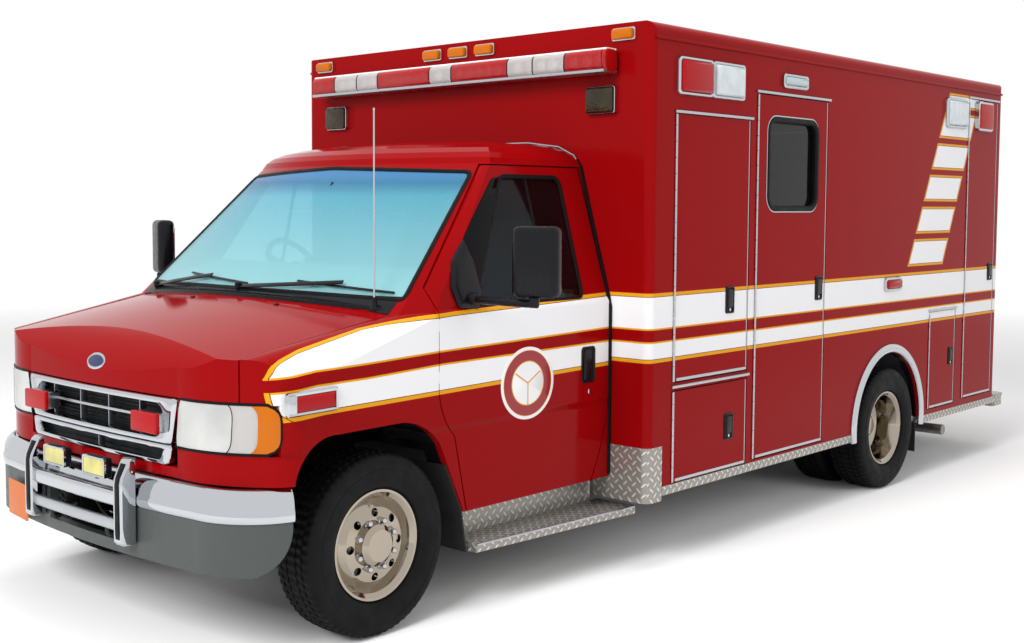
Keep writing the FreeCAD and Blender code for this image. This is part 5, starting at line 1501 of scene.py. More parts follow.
    def bumper(self) -> None:
        """The bright bumper: a pressed section with a rolled top and a crease, carried round
        the nose; each of its points stands off the plan along the plan's own normal."""
        nose = arc_through((0.7, -0.688), (0.0, -0.735), (-0.7, -0.688), 33)
        bend = arc_through((1.003, -0.442), (0.908, -0.605), (0.7, -0.688), 17)
        plan = np.vstack([bend[:-1], nose, bend[-2::-1] * np.array([-1, 1])])
        ahead = np.gradient(plan, axis=0)
        out = np.stack([-ahead[:, 1], ahead[:, 0]], -1) / np.linalg.norm(ahead, axis=1)[:, None]
        out *= np.sign((out * plan).sum(axis=1))[:, None]
        section = np.array([(-0.05, 0.547), (-0.012, 0.5455), (-0.004, 0.548), (-0.001, 0.555),
                            (0.0, 0.566), (-0.001, 0.584), (-0.004, 0.592), (-0.0055, 0.596),
                            (-0.008, 0.618), (-0.013, 0.636), (-0.021, 0.652), (-0.031, 0.664),
                            (-0.041, 0.6705), (-0.047, 0.6705), (-0.05, 0.664)])
        flat = plan[:, None] + out[:, None] * section[None, :, :1]
        height = np.broadcast_to(section[None, :, 1], flat.shape[:2])
        bar = surface(on_car(np.dstack([flat, height])), wrap_v=True, capped=True)
        iron = plate(rounded((0.37, 0.561), (0.43, 0.659), 0.008), Axis.Y, at_y(-0.675),
                     at_y(-0.56), 0.002, both=True)
        piece("front_bumper_bar", [(bar, Paint.CHROME),
                                   (joined([iron, iron.mirrored()]), Paint.CHASSIS)],
              replaces=("front_bumper",))

    def guards(self) -> None:
        """Two uprights with rubber faces, the bars between them and the blank plate."""
        side_view = np.array([(-0.722, 0.4), (-0.776, 0.4), (-0.787, 0.412), (-0.788, 0.64),
                              (-0.783, 0.665), (-0.752, 0.728), (-0.738, 0.738),
                              (-0.722, 0.738)])[::-1]
        upright = plate(side_view + np.array([FRONT_AXLE_Y, 0.0]), Axis.X, 0.318, 0.378, 0.005,
                        both=True)
        strip_line = on_car([(0.348, -0.785, 0.425), (0.348, -0.7872, 0.45),
                             (0.348, -0.7872, 0.635), (0.348, -0.782, 0.664),
                             (0.348, -0.758, 0.718)])
        strip = swept(strip_line, rounded((-0.017, -0.006), (0.017, 0.0025), 0.003, 3),
                      (0, -1, 0.2))
        chrome, black = [upright, upright.mirrored()], [strip, strip.mirrored()]
        bars = [swept(on_car([(-0.32, -0.762, z), (0.0, -0.766, z), (0.32, -0.762, z)]),
                      rounded((-0.014, -tall), (0.014, tall), 0.011, 4), (0, 0, 1))
                for z, tall in ((0.576, 0.03), (0.4715, 0.0225))]
        piece("push_guard_face", [(joined(chrome + bars[:1]), Paint.CHROME),
                                  (bars[1], Paint.LINING), (joined(black), Paint.RUBBER)],
              replaces=("push_guards",))
        hooks = [swept(on_car(curve_through([(x, -0.64, 0.455), (x, -0.722, 0.455),
                                             (x, -0.748, 0.44), (x, -0.742, 0.418),
                                             (x, -0.712, 0.415)], 6)), circle(0.011, 10),
                       (1, 0, 0)) for x in (-0.215, 0.215)]
        piece("tow_hooks", [(joined(hooks), Paint.CHASSIS)])
        blank = plate(rounded((-0.115, -0.078), (0.115, 0.078), 0.008), Axis.Y, 0.0, -0.004, 0.001)
        blank = blank.turned(Axis.Z, -8, (0, 0, 0)).moved(-0.56, at_y(-0.7215), 0.4255)
        piece("blank_plate", [(blank, Paint.PLATE)])

    def build(self) -> None:
        """Makes the whole front."""
        self.grille()
        self.headlamps()
        self.badge()
        self.guards()
        self.bumper()


@dataclass
class CabTrim:
    """Everything fixed to the cab: rubbers, wipers, louvres, handles, mirrors and lamps.

    Attributes:
        side_x: X of the flat cab side.
    """

    side_x: float = 1.0

    @staticmethod
    def around(corners: list[Place], radius: float, gap: float = 0.03) -> np.ndarray:
        """A polygon with cut corners, its sides split evenly.

        Args:
            corners: anticlockwise.
            radius: how far from a corner its curve starts.
            gap: most that two points lie apart.

        Returns:
            The outline.
        """
        line = FrontEnd.smooth(corners, radius)
        ends = np.roll(line, -1, axis=0)
        counts = np.maximum(np.ceil(np.linalg.norm(ends - line, axis=1) / gap), 1).astype(int)
        return np.vstack([a + (b - a) * (np.arange(n) / n)[:, None]
                          for a, b, n in zip(line, ends, counts)])

    def screen_seal(self) -> None:
        """Black rubber round the windscreen, laid on its curve."""
        corners = [(-0.905, 1.33), (0.905, 1.33), (0.77, 1.866), (0.0, 1.893), (-0.77, 1.866)]
        line = self.around(corners, 0.03)
        line[:, 1] += 0.012 * (1 - (line[:, 0] / 0.91) ** 2) * (line[:, 1] < 1.34)
        path = on_car(np.stack([line[:, 0], CabForm.screen(line[:, 0], line[:, 1]) - 0.001,
                                line[:, 1]], -1))
        seal = swept(path, circle(0.009, 8, 0.5), (0, -0.7, 0.7), looped=True)
        ceramic = swept(path + np.array([0, -0.0005, 0]), circle(0.0125, 8, 0.14),
                        (0, -0.72, 0.7), looped=True)
        piece("screen_rubber", [(joined([seal, ceramic]), Paint.RUBBER)])

    def door_seals(self) -> None:
        """Black rubber round each door window, on the leaning side."""
        corners = [(0.556, 1.288), (1.29, 1.288), (1.292, 1.848), (0.872, 1.848)]
        line = self.around(corners[::-1], 0.045)
        path = on_car(np.stack([CabForm.side(line[:, 1]) - 0.002, line[:, 0], line[:, 1]], -1))
        seal = swept(path, circle(0.011, 8, 0.6), (1, 0, 0.25), looped=True)
        run = on_car([(CabForm.side(z) - 0.014, 1.06, z) for z in np.linspace(1.295, 1.842, 9)])
        post = swept(run, rounded((-0.011, -0.004), (0.011, 0.004), 0.003, 3), (1, 0, 0.25))
        pair("door_window_rubber", [(joined([seal, post]), Paint.RUBBER)], "cab_door_{}")

    def rear_joint(self) -> None:
        """The rubber gaiter between cab and box, and the bright cap over the roof's part."""
        half = [(1.001, 0.44), (1.001, 0.85), (1.001, 1.24), (0.991, 1.285), (0.946, 1.44),
                (0.881, 1.665), (0.817, 1.9), (0.779, 1.953), (0.685, 1.996), (0.49, 2.021),
                (0.25, 2.022)]
        ring = half + [(-x, z) for x, z in reversed(half)]
        spread = np.vstack([np.linspace(a, b, 8, endpoint=False)
                            for a, b in zip(ring[:-1], ring[1:])] + [np.array(ring[-1])[None]])
        path = on_car(np.stack([spread[:, 0], np.full(len(spread), 1.479), spread[:, 1]], -1))
        gaiter = swept(path, rounded((-0.008, -0.009), (0.008, 0.009), 0.006, 3), (0, 1, 0))
        top = path[path[:, 2] > 1.93] + np.array([0, -0.002, 0.006])
        cap = swept(top, rounded((-0.005, -0.009), (0.005, 0.009), 0.004, 3), (0, 1, 0))
        piece("cab_to_box_gaiter", [(gaiter, Paint.RUBBER), (cap, Paint.BRIGHT)])

    def wiper(self, pivot: Place, end: Place, blade_start: Place, blade_end: Place) -> Shape:
        """One wiper: a tapering arm from its pivot, and a blade that lies along the glass.

        Args:
            pivot: (x, z) of the spindle.
            end: (x, z) where the arm holds the blade.
            blade_start: (x, z) of one end of the blade.
            blade_end: (x, z) of the other.

        Returns:
            Arm, blade and spindle as one shape.
        """
        def laid(a: Place, b: Place, count: int, lift: list[float]) -> np.ndarray:
            """A straight line in front view, laid on the screen.

            Args:
                a: its start.
                b: its end.
                count: points in it.
                lift: how far it stands off, evenly spaced along it.

            Returns:
                The points.
            """
            line = np.linspace(a, b, count)
            off = np.interp(np.linspace(0, 1, count), np.linspace(0, 1, len(lift)), lift)
            return on_car(np.stack([line[:, 0], CabForm.screen(line[:, 0], line[:, 1]) - off,
                                    line[:, 1]], -1))

        arm = swept(laid(pivot, end, 16, [0.014, 0.034, 0.036, 0.03]),
                    rounded((-0.0105, -0.003), (0.0105, 0.003), 0.002, 3), (0, -0.7, 0.7))
        rubber = swept(laid(blade_start, blade_end, 20, [0.006, 0.006]),
                       rounded((-0.003, -0.005), (0.003, 0.005), 0.002, 3), (0, -0.7, 0.7))
        spine = swept(laid(blade_start, blade_end, 20, [0.012, 0.017, 0.021, 0.017, 0.012]),
                      rounded((-0.004, -0.002), (0.004, 0.002), 0.0015, 3), (0, -0.7, 0.7))
        base = laid(pivot, end, 16, [0.014, 0.03])[0]
        boss = revolved([(-0.016, 0.0), (-0.016, 0.014), (0.012, 0.017), (0.02, 0.01),
                         (0.022, 0.0)], Axis.Z, tuple(base), 20)
        return joined([arm, rubber, spine, boss])

    def wipers(self) -> None:
        """Both wipers, parked along the foot of the glass."""
        shapes = [self.wiper((-0.8, 1.322), (-0.288, 1.392), (-0.52, 1.392), (0.0, 1.366)),
                  self.wiper((-0.04, 1.352), (0.582, 1.392), (0.313, 1.388), (0.845, 1.358))]
        piece("wipers", [(joined(shapes), Paint.PLASTIC)])

    def cowl(self) -> None:
        """Thin louvres across the cowl, and a bright sleeve on the aerial."""
        xs = np.arange(-0.8, 0.801, 0.0135)
        front = 0.158 - 0.135 * (1 - (xs / 0.886) ** 2) + 0.008
        rear = 0.182 - 0.112 * (1 - (xs / 0.9) ** 2) - 0.006
        height = CabForm.hood(xs, (front + rear) / 2) + 0.0145
        fins = [plate(rounded((x - 0.0028, at_y(a)), (x + 0.0028, at_y(b)), 0.0025, 3), Axis.Z,
                      z - 0.004, z + 0.002, 0.001)
                for x, a, b, z in zip(xs, front, rear, height)]
        mast = Span.of("cowl")
        at = (0.8, at_y(0.143))
        sleeve = revolved([(1.33, 0.0055), (1.345, 0.0042), (1.6, 0.0036),
                           (mast.high.z - 0.012, 0.0034), (mast.high.z - 0.006, 0.005),
                           (mast.high.z, 0.003), (mast.high.z + 0.0005, 0.0)], Axis.Z,
                          (*at, 0.0), 16)
        mount = revolved([(1.275, 0.02), (1.292, 0.021), (1.302, 0.014), (1.33, 0.01),
                          (1.333, 0.0)], Axis.Z, (*at, 0.0), 24)
        span = np.linspace(-0.885, 0.885, 61)[:, None]
        foot = CabForm.hood(span, 0.078 + 0.067 * (span / 0.85) ** 2) + 0.002
        rise = foot + (1.343 - foot) * np.linspace(0, 1, 5)[None, :]
        skirt = [on_car(np.stack([np.broadcast_to(span, rise.shape),
                                  CabForm.screen(span, rise) - out, rise], -1))
                 for out in (0.0025, -0.003)]
        apron = surface(np.concatenate([skirt[0], skirt[1][:, ::-1]], axis=1), wrap_v=True,
                        capped=True)
        jets = []
        for x, y in ((-0.22, -0.035), (0.36, -0.015)):
            z = float(CabForm.hood(x, y))
            jets.append(plate(rounded((x - 0.012, at_y(y) - 0.008), (x + 0.012, at_y(y) + 0.008),
                                      0.004, 4), Axis.Z, z - 0.004, z + 0.006, 0.003))
        piece("cowl_louvres", [(joined([*fins, mount, apron]), Paint.PLASTIC),
                               (sleeve, Paint.CHROME)])
        piece("washer_jets", [(joined(jets), Paint.PLASTIC)], "hood")

    @staticmethod
    def on_door(corners: list[Place], layers: list[Place]) -> Shape:
        """A raised plate on the leaning glasshouse side: each layer shrinks about the middle.

        Args:
            corners: its outline, as (distance behind the front axle, Z).
            layers: (share that it shrinks by, how far it stands off) pairs.

        Returns:
            The plate.
        """
        rows = FrontEnd.smooth(corners, 0.012, 3)
        middle = rows.mean(axis=0)
        rings = []
        for shrink, out in layers:
            flat = middle + (rows - middle) * (1 - shrink)
            rings.append(np.stack([CabForm.side(flat[:, 1]) - 0.001 + out, flat[:, 0],
                                   flat[:, 1]], -1))
        return surface(on_car(np.stack(rings)), wrap_v=True, capped=True)

    def mirrors(self) -> None:
        """Sail, arm, head and glass of each door mirror, in place of the CAD node."""
        sail = self.on_door([(0.459, 1.482), (0.423, 1.373), (0.445, 1.291), (0.562, 1.28),
                             (0.604, 1.347), (0.596, 1.432), (0.59, 1.503), (0.553, 1.572)],
                            [(0.0, 0.0), (0.0, 0.01), (0.05, 0.017), (0.16, 0.023),
                             (0.38, 0.026)])
        quarter = self.on_door([(0.553, 1.56), (0.57, 1.588), (0.691, 1.713), (0.819, 1.838),
                                (0.874, 1.846), (0.73, 1.59), (0.6, 1.35), (0.54, 1.4)],
                               [(0.0, 0.0), (0.0, 0.0035), (0.02, 0.0045)])
        arm = swept(on_car(curve_through([(0.985, 0.52, 1.33), (1.03, 0.52, 1.322),
                                          (1.18, 0.522, 1.32), (1.345, 0.528, 1.32)], 8)),
                    circle(0.016, 16), (0, 0, 1))
        knuckle = revolved([(0.97, 0.0), (0.972, 0.03), (1.012, 0.026), (1.03, 0.019),
                            (1.032, 0.0)], Axis.X, (0.0, at_y(0.52), 1.326), 24)
        neck = revolved([(1.304, 0.0), (1.306, 0.018), (1.318, 0.021), (1.345, 0.021),
                         (1.352, 0.0)], Axis.Z, (1.33, at_y(0.528), 0.0), 24)
        head = plate(rounded((-0.1, -0.045), (0.1, 0.045), 0.036, 9), Axis.Z, 1.345, 1.634,
                     0.026, both=True)
        glass = plate(rounded((-0.082, 1.368), (0.082, 1.612), 0.02), Axis.Y, 0.04, 0.0462, 0.001)
        placed = [shape.turned(Axis.Z, 22, (0, 0, 0)).moved(1.3278, at_y(0.545))
                  for shape in (head, glass)]
        black = joined([sail, arm, knuckle, neck, placed[0]])
        pair("door_mirror", [(black, Paint.PLASTIC), (quarter, Paint.BLACKED),
            (placed[1], Paint.MIRROR)], "cab_door_{}", "mirror_{}", 40)

    def door_fittings(self) -> None:
        """Handle, lock and plain ringed disc on each cab door."""
        recess = rounded((at_y(1.262), 0.893), (at_y(1.366), 1.063), 0.02)
        x = self.side_x
        frame = bezel(recess, Axis.X, [(0.0, x - 0.002), (0.0, x + 0.003), (-0.004, x + 0.005),
                                       (-0.01, x + 0.004), (-0.014, x - 0.002)])
        floor = plate(grown(recess, -0.009), Axis.X, x - 0.002, x + 0.0007)
        paddle = rounded((at_y(1.28), 0.905), (at_y(1.334), 1.05), 0.012)
        lever = plate(paddle, Axis.X, x, x + 0.006, 0.004)
        lock = revolved([(x - 0.001, 0.0), (x - 0.001, 0.013), (x + 0.003, 0.013),
                         (x + 0.004, 0.01), (x + 0.0035, 0.0)], Axis.X,
                        (0.0, at_y(1.325), 0.852), 24)
        at = (0.0, at_y(0.88), 0.934)

        def disc(inner: float, outer: float, high: float) -> Shape:
            """A flat ring that stands a little off the door, an oval of the door's own plane.

            Args:
                inner: radius of its hole.
                outer: radius of its edge.
                high: how far it stands off.

            Returns:
                The ring.
            """
            ring = revolved([(x - 0.001, inner), (x - 0.001, outer), (x + high - 0.0003, outer),
                             (x + high, outer - 0.0004), (x + high, inner)], Axis.X, at, 64,
                            closed=True)
            wide = (ring.points - at) * np.array([1.0, 1.1, 0.99]) + at
            return Shape(wide, ring.faces)

        spokes = joined([plate(rectangle((-0.0035, 0.0), (0.0035, 0.097)), Axis.X, x, x + 0.0018,
            0.0004).turned(Axis.X, turn, (0, 0, 0)).moved(0, *at[1:]) for turn in (60, 180, -60)])
        rings = [(disc(0.148, 0.1625, 0.0014), Paint.WHITE_DECAL),
                 (disc(0.1455, 0.1485, 0.0016), Paint.GOLD_DECAL),
                 (disc(0.1, 0.146, 0.0012), Paint.RED_DECAL),
                 (disc(0.096, 0.1005, 0.0016), Paint.GOLD_DECAL),
                 (disc(0.0002, 0.0965, 0.0012), Paint.WHITE_DECAL), (spokes, Paint.GOLD_DECAL)]
        pair("cab_door_fittings", [(frame, Paint.PLASTIC), (floor, Paint.RUBBER),
                                   (lever, Paint.PLASTIC), (lock, Paint.CHROME), *rings],
             "cab_door_{}")

    def fender_lamps(self) -> None:
        """A red lamp in a bright bezel on each fender."""
        outline = rounded((at_y(-0.483), 0.941), (at_y(-0.236), 1.03), 0.01)
        outline = outline + np.stack([np.zeros(len(outline)),
                                      (outline[:, 0] - at_y(-0.36)) * 0.02], -1)
        x = self.side_x
        frame = bezel(outline, Axis.X, [(0.0, x - 0.004), (0.0, x + 0.01), (-0.005, x + 0.016),
                                        (-0.013, x + 0.014), (-0.016, x + 0.004),
                                        (-0.016, x - 0.004)])
        lens = plate(grown(outline, -0.015), Axis.X, x - 0.004, x + 0.02, 0.008)
        backing = plate(grown(outline, -0.002), Axis.X, x - 0.004, x + 0.002)
        cell = rounded((at_y(-0.479), 0.95), (at_y(-0.443), 1.02), 0.006)
        bright = plate(cell, Axis.X, x, x + 0.0215, 0.004)
        pair("fender_lamp", [(frame, Paint.CHROME), (backing, Paint.PLASTIC),
                             (lens, Paint.RED_LENS), (bright, Paint.CHROME)])

    def build(self) -> None:
        """Makes all of the cab's trim."""
        self.screen_seal()
        self.door_seals()
        self.rear_joint()
        self.wipers()
        self.cowl()
        self.mirrors()
        self.door_fittings()
        self.fender_lamps()


@dataclass(frozen=True)
class Door:
    """A side door's edges, in metres behind the front axle and Z.

    Attributes:
        node: its CAD node, which is also its body.
        side: which side it is on.
        latch: the (start, end, bottom, top) of its paddle latch.
    """

    node: str
    side: Side
    latch: tuple[float, float, float, float]


@dataclass
class BoxTrim:
    """The box's mouldings, hinges, latches, gaskets and lamps.

    Attributes:
        half: X of the box's side.
        front: distance of its front behind the front axle.
        rear: distance of its rear.
        doors: those on its sides.
    """

    half: float = 1.219
    front: float = 1.488
    rear: float = 5.694
    doors: tuple[Door, ...] = (
        Door("upper_locker_door", Side.LEFT, (2.142, 2.222, 1.18, 1.316)),
        Door("lower_locker_door", Side.LEFT, (2.148, 2.228, 0.541, 0.674)),
        Door("side_entry_door", Side.LEFT, (3.06, 3.14, 1.2, 1.333)),
        Door("rear_low_locker_door", Side.LEFT, (4.88, 4.95, 0.68, 0.8)),
        Door("rear_tall_locker_door", Side.LEFT, (5.5, 5.58, 1.214, 1.332)),
        Door("right_front_locker_door", Side.RIGHT, (2.142, 2.222, 1.18, 1.316)),
        Door("right_rear_locker_door", Side.RIGHT, (5.5, 5.58, 1.214, 1.332)))

    def latch(self, start: float, end: float, low: float, high: float) -> Parts:
        """A black paddle latch: rim, dished floor and the paddle that is pulled.

        Args:
            start: its front edge behind the front axle.
            end: its rear edge.
            low: its foot.
            high: its top.

        Returns:
            Shapes with their finishes.
        """
        x = self.half
        rim = rounded((at_y(start), low), (at_y(end), high), 0.012)
        frame = bezel(rim, Axis.X, [(0.0, x - 0.001), (0.0, x + 0.004), (-0.003, x + 0.006),
                                    (-0.008, x + 0.006), (-0.011, x - 0.001)])
        floor = plate(grown(rim, -0.008), Axis.X, x - 0.001, x + 0.0006)
        paddle = rounded((at_y(start) + 0.014, low + 0.03), (at_y(end) - 0.014, high - 0.014),
                         0.008)
        lever = plate(paddle, Axis.X, x, x + 0.008, 0.005)
        lock = revolved([(x, 0.0), (x, 0.008), (x + 0.005, 0.008), (x + 0.006, 0.006),
                         (x + 0.0055, 0.0)], Axis.X,
                        (0.0, at_y((start + end) / 2), low + 0.019), 20)
        return [(joined([frame, lever]), Paint.PLASTIC), (floor, Paint.RUBBER),
                (lock, Paint.CHROME)]

    def hinge(self, node: str) -> Parts:
        """The long bright hinge on a side door's front edge: leaf, and a knuckle cut into
        short barrels by grooves.

        Args:
            node: the door.

        Returns:
            Shapes with their finishes, drawn on the left side.
        """
        box = Span.of(node)
        low, high = box.low.z, box.high.z
        start = box.low.y + 0.01
        rows = []
        for z in np.arange(low + 0.001, high - 0.05, 0.076):
            top = min(z + 0.074, high - 0.001)
            rows += [(z, 0.0036), (z + 0.0006, 0.0044), (top - 0.0006, 0.0044), (top, 0.0036)]
        rows = [(low + 0.0005, 0.0), *rows, (rows[-1][0] + 0.0003, 0.0)]
        knuckle = revolved(rows, Axis.Z, (self.half + 0.0043, start - 0.006, 0.0), 14)
        leaf = plate(rectangle((start - 0.005, low + 0.001), (start + 0.01, high - 0.001)),
                     Axis.X, self.half, self.half + 0.0026, 0.0006)
        scuff = plate(rounded((start + 0.026, low + 0.002), (box.high.y - 0.002, low + 0.016),
                              0.002, 3), Axis.X, self.half - 0.001, self.half + 0.0022, 0.0008)
        edge = plate(rectangle((box.high.y - 0.007, low + 0.018), (box.high.y - 0.001,
            high - 0.002)), Axis.X, self.half - 0.001, self.half + 0.0012, 0.0005)
        return [(joined([knuckle, leaf, scuff, edge]), Paint.BRIGHT)]

    def door_parts(self) -> None:
        """Hinge and latch of each side door."""
        for door in self.doors:
            parts = self.hinge(door.node) + self.latch(*door.latch)
            if door.node == "rear_tall_locker_door":
                parts += self.lamp(5.208, 5.446, 2.227, 2.418, 0.034, Paint.RED_LENS, True)
            if door.node == "side_entry_door":
                parts += self.entry_window()
            piece(f"{door.node}_trim", [(s.on(door.side), p) for s, p in parts], door.node)

    def entry_window(self) -> Parts:
        """Black gasket round the entry door's window, in a bright frame.

        Returns:
            Shapes with their finishes, on the left side.
        """
        pane = Span.of("side_entry_window")
        x = self.half
        outline = rounded((pane.low.y, pane.low.z), (pane.high.y, pane.high.z), 0.06, 9)
        frame = bezel(grown(outline, 0.022), Axis.X,
                      [(0.0, x - 0.001), (0.0, x + 0.004), (-0.006, x + 0.009),
                       (-0.022, x + 0.008), (-0.03, x - 0.002), (-0.03, x - 0.02),
                       (-0.022, x - 0.02), (-0.0205, x - 0.001)])
        bright = bezel(grown(outline, 0.028), Axis.X, [(0.0, x - 0.001), (0.0, x + 0.002),
                                                       (-0.006, x + 0.003), (-0.007, x - 0.001)])
        return [(frame, Paint.RUBBER), (bright, Paint.BRIGHT)]

    def mouldings(self) -> None:
        """Drip rails over the doors, and the long moulding under the roof on each side."""
        x = self.half
        section = rounded((-0.006, -0.007), (0.006, 0.007), 0.003, 3)

        def rail(start: float, end: float, z: float) -> Shape:
            """One drip rail, a slim bar that stands off the wall."""
            return swept(on_car([(x + 0.004, start, z), (x + 0.004, (start + end) / 2, z),
                                 (x + 0.004, end, z)]), section, (0, 0, 1))

        left = [rail(1.672, 2.372, 2.16), rail(1.672, 2.372, 0.856), rail(2.404, 3.19, 2.302),
                rail(4.562, 4.996, 1.054), rail(5.102, 5.622, 2.44)]
        right = [rail(1.672, 2.372, 2.16), rail(5.102, 5.622, 2.16)]
        top = rail(1.512, 5.66, 2.492)
        top_line = swept(on_car([(x + 0.0045, 1.512, 2.4855), (x + 0.0045, 3.5, 2.4855),
                                 (x + 0.0045, 5.66, 2.4855)]),
                         rounded((-0.007, -0.002), (0.007, 0.002), 0.001, 3), (0, 0, 1))
        for side, rails in zip(Side, (left, right)):
            shapes = ((joined(rails), Paint.BRIGHT), (top, Paint.PLAIN_RED),
                      (top_line, Paint.PLAIN_RED))
            piece(f"drip_rails_{side.word}", [(s.on(side), paint) for s, paint in shapes])

    def lamp(self, start: float, end: float, low: float, high: float, out: float, paint: Paint,
             over: bool = False) -> Parts:
        """A wall lamp: a bright rim round a domed lens.

        Args:
            start: its front edge behind the front axle.
            end: its rear edge.
            low: its foot.
            high: its top.
            out: how far the CAD lamp stands off the wall.
            paint: the lens's finish.
            over: whether it encloses a lamp body that belongs to the door's own node.

        Returns:
            Shapes with their finishes.
        """
        x = self.half
        rim = rounded((at_y(start), low), (at_y(end), high), 0.022, 7)
        if over:
            rim, tip = grown(rim, 0.002), x + out
            frame = bezel(rim, Axis.X, [(0.0, x - 0.001), (0.0, tip - 0.004),
                                        (-0.004, tip + 0.001), (-0.014, tip + 0.001),
                                        (-0.016, x - 0.001)])
            lens = plate(grown(rim, -0.014), Axis.X, x - 0.001, tip + 0.006, 0.006)
            return [(frame, Paint.CHROME), (lens, paint)]
        frame = bezel(rim, Axis.X, [(0.0, x - 0.001), (0.0, x + out * 0.45),
                                    (-0.004, x + out * 0.62), (-0.013, x + out * 0.62),
                                    (-0.019, x + out * 0.4), (-0.019, x - 0.001)])
        lens = plate(grown(rim, -0.0175), Axis.X, x - 0.001, x + out + 0.001, 0.013)
        return [(frame, Paint.CHROME), (lens, paint)]

    def tail_lamp(self, x: float, z: float, wide: float, tall: float, paint: Paint) -> Parts:
        """A lamp on the rear face, of the same kind as those on the sides.

        Args:
            x: its edge nearest the middle.
            z: its foot.
            wide: across it.
            tall: its height.
            paint: the lens's finish.

        Returns:
            Shapes with their finishes.
        """
        y = at_y(self.rear)
        rim = rounded((x, z), (x + wide, z + tall), 0.02, 7)
        frame = bezel(rim, Axis.Y, [(0.0, y - 0.001), (0.0, y + 0.014), (-0.004, y + 0.019),
                                    (-0.012, y + 0.019), (-0.017, y + 0.012), (-0.017, y - 0.001)])
        lens = plate(grown(rim, -0.016), Axis.Y, y - 0.001, y + 0.031, 0.01)
        return [(frame, Paint.CHROME), (lens, paint)]

    def lamps(self) -> None:
        """The lamps that stand on the box's walls, in place of the CAD node."""
        walls = [(1.684, 1.975, 2.238, 2.42, 0.034, Paint.RED_LENS),
                 (1.976, 2.267, 2.238, 2.42, 0.034, Paint.CLEAR_LAMP),
                 (2.658, 2.917, 2.336, 2.412, 0.03, Paint.SCENE_LENS),
                 (4.738, 5.055, 2.227, 2.418, 0.034, Paint.CLEAR_LAMP),
                 (3.914, 4.138, 1.208, 1.291, 0.026, Paint.RED_LENS)]
        side = [part for wall in walls for part in self.lamp(*wall)]
        tails = [(0.76, 1.15, 0.18, 0.11, Paint.RED_LENS), (0.76, 1.275, 0.18, 0.11, Paint.AMBER),
            (0.76, 1.4, 0.18, 0.11, Paint.CLEAR_LAMP), (0.96, 2.26, 0.18, 0.18, Paint.RED_LENS),
            (0.74, 2.26, 0.18, 0.18, Paint.CLEAR_LAMP)]
        side += [part for tail in tails for part in self.tail_lamp(*tail)]
        face = at_y(self.front)
        rim = rounded((0.858, 2.149), (1.028, 2.278), 0.014)
        side += [(plate(rim, Axis.Y, face, face - 0.03, 0.003), Paint.CHROME),
                 (plate(grown(rim, -0.003), Axis.Y, face - 0.029, face - 0.033, 0.001),
                  Paint.RUBBER),
                 (plate(grown(rim, -0.007), Axis.Y, face - 0.032, face - 0.042, 0.007),
                  Paint.FLOOD_LENS)]
        for at in (1.06, 0.187):
            side += self.marker(at)
        right_rear = self.lamp(5.208, 5.446, 2.227, 2.418, 0.034, Paint.RED_LENS)
        piece("box_lamps_left", side + self.marker(0.0), replaces=("module_lamps",))
        piece("box_lamps_right", [(s.mirrored(), p) for s, p in side + right_rear])

    def marker(self, x: float) -> Parts:
        """An amber roof marker: a plinth under a lens that narrows to its front.

        Args:
            x: its middle.

        Returns:
            Shapes with their finishes.
        """
        face = at_y(self.front)
        base = plate(rounded((x - 0.066, 2.483), (x + 0.066, 2.543), 0.01), Axis.Y, face,
                     face - 0.01, 0.002)
        lens = plate(rounded((x - 0.058, 2.488), (x + 0.058, 2.538), 0.012), Axis.Y, face - 0.009,
                     face - 0.034, 0.012)
        return [(base, Paint.CHROME), (lens, Paint.AMBER)]

    def light_bar(self) -> None:
        """The light bar: a shelf, a white top strip and domes in a row of colours."""
        box = Span.of("light_bar")
        low_y, high_y = at_y(1.364), at_y(1.467)
        outline = rounded((low_y, box.low.z + 0.006), (high_y, box.high.z - 0.004), 0.034, 8)
        parts = []
        for start, end, paint in self.segments():
            parts.append((plate(outline, Axis.X, start + 0.0015, end - 0.0015, 0.006, both=True),
                          paint))
            if end < 1.0:
                parts.append((plate(grown(outline, -0.001), Axis.X, end - 0.003, end + 0.003),
                              Paint.RUBBER))
            count = max(int((end - start) / 0.055), 1)
            rows = (start + (end - start) * (np.arange(count) + 0.5) / count).tolist()
            cups = [revolved([(0.03, 0.0), (0.026, 0.016), (0.01, 0.026), (-0.012, 0.03),
                              (-0.01, 0.027), (0.01, 0.019), (0.02, 0.0)], Axis.Y,
                             (x, (low_y + high_y) / 2, 2.392), 20)
                    for x in rows if end - start > 0.06]
            if cups:
                parts.append((joined(cups), Paint.REFLECTOR))
        line = np.array([(-1.035, 0, 0), (0.0, 0, 0), (1.035, 0, 0)])
        shelf = swept(line + np.array([0, (low_y + high_y) / 2, box.low.z + 0.008]),
                      rounded((-0.053, -0.008), (0.053, 0.008), 0.005, 3), (0, 0, 1))
        top = swept(line + np.array([0, (low_y + high_y) / 2 + 0.004, box.high.z - 0.006]),
                    rounded((-0.04, -0.005), (0.04, 0.005), 0.004, 3), (0, 0, 1))
        feet = [plate(rounded((x, 2.345), (x + 0.06, 2.385), 0.006), Axis.Y, at_y(self.front),
                      high_y - 0.02, 0.002) for x in (-0.9, -0.03, 0.84)]
        parts += [(joined([shelf, *feet]), Paint.BRIGHT), (top, Paint.WHITE)]
        piece("light_bar_domes", parts, replaces=("light_bar",))

    @staticmethod
    def segments() -> list[tuple[float, float, Paint]]:
        """The light bar's domes.

        Returns:
            From the right side to the left, each one's start X, end X and finish.
        """
        edges = [-1.04, -0.848, -0.663, -0.495, -0.1, 0.058, 0.44, 0.603, 0.798, 1.018, 1.04]
        red, clear = Paint.RED_BEACON, Paint.CLEAR_BEACON
        colours = [red, clear, clear, red, clear, red, clear, clear, red, red]
        return list(zip(edges[:-1], edges[1:], colours))

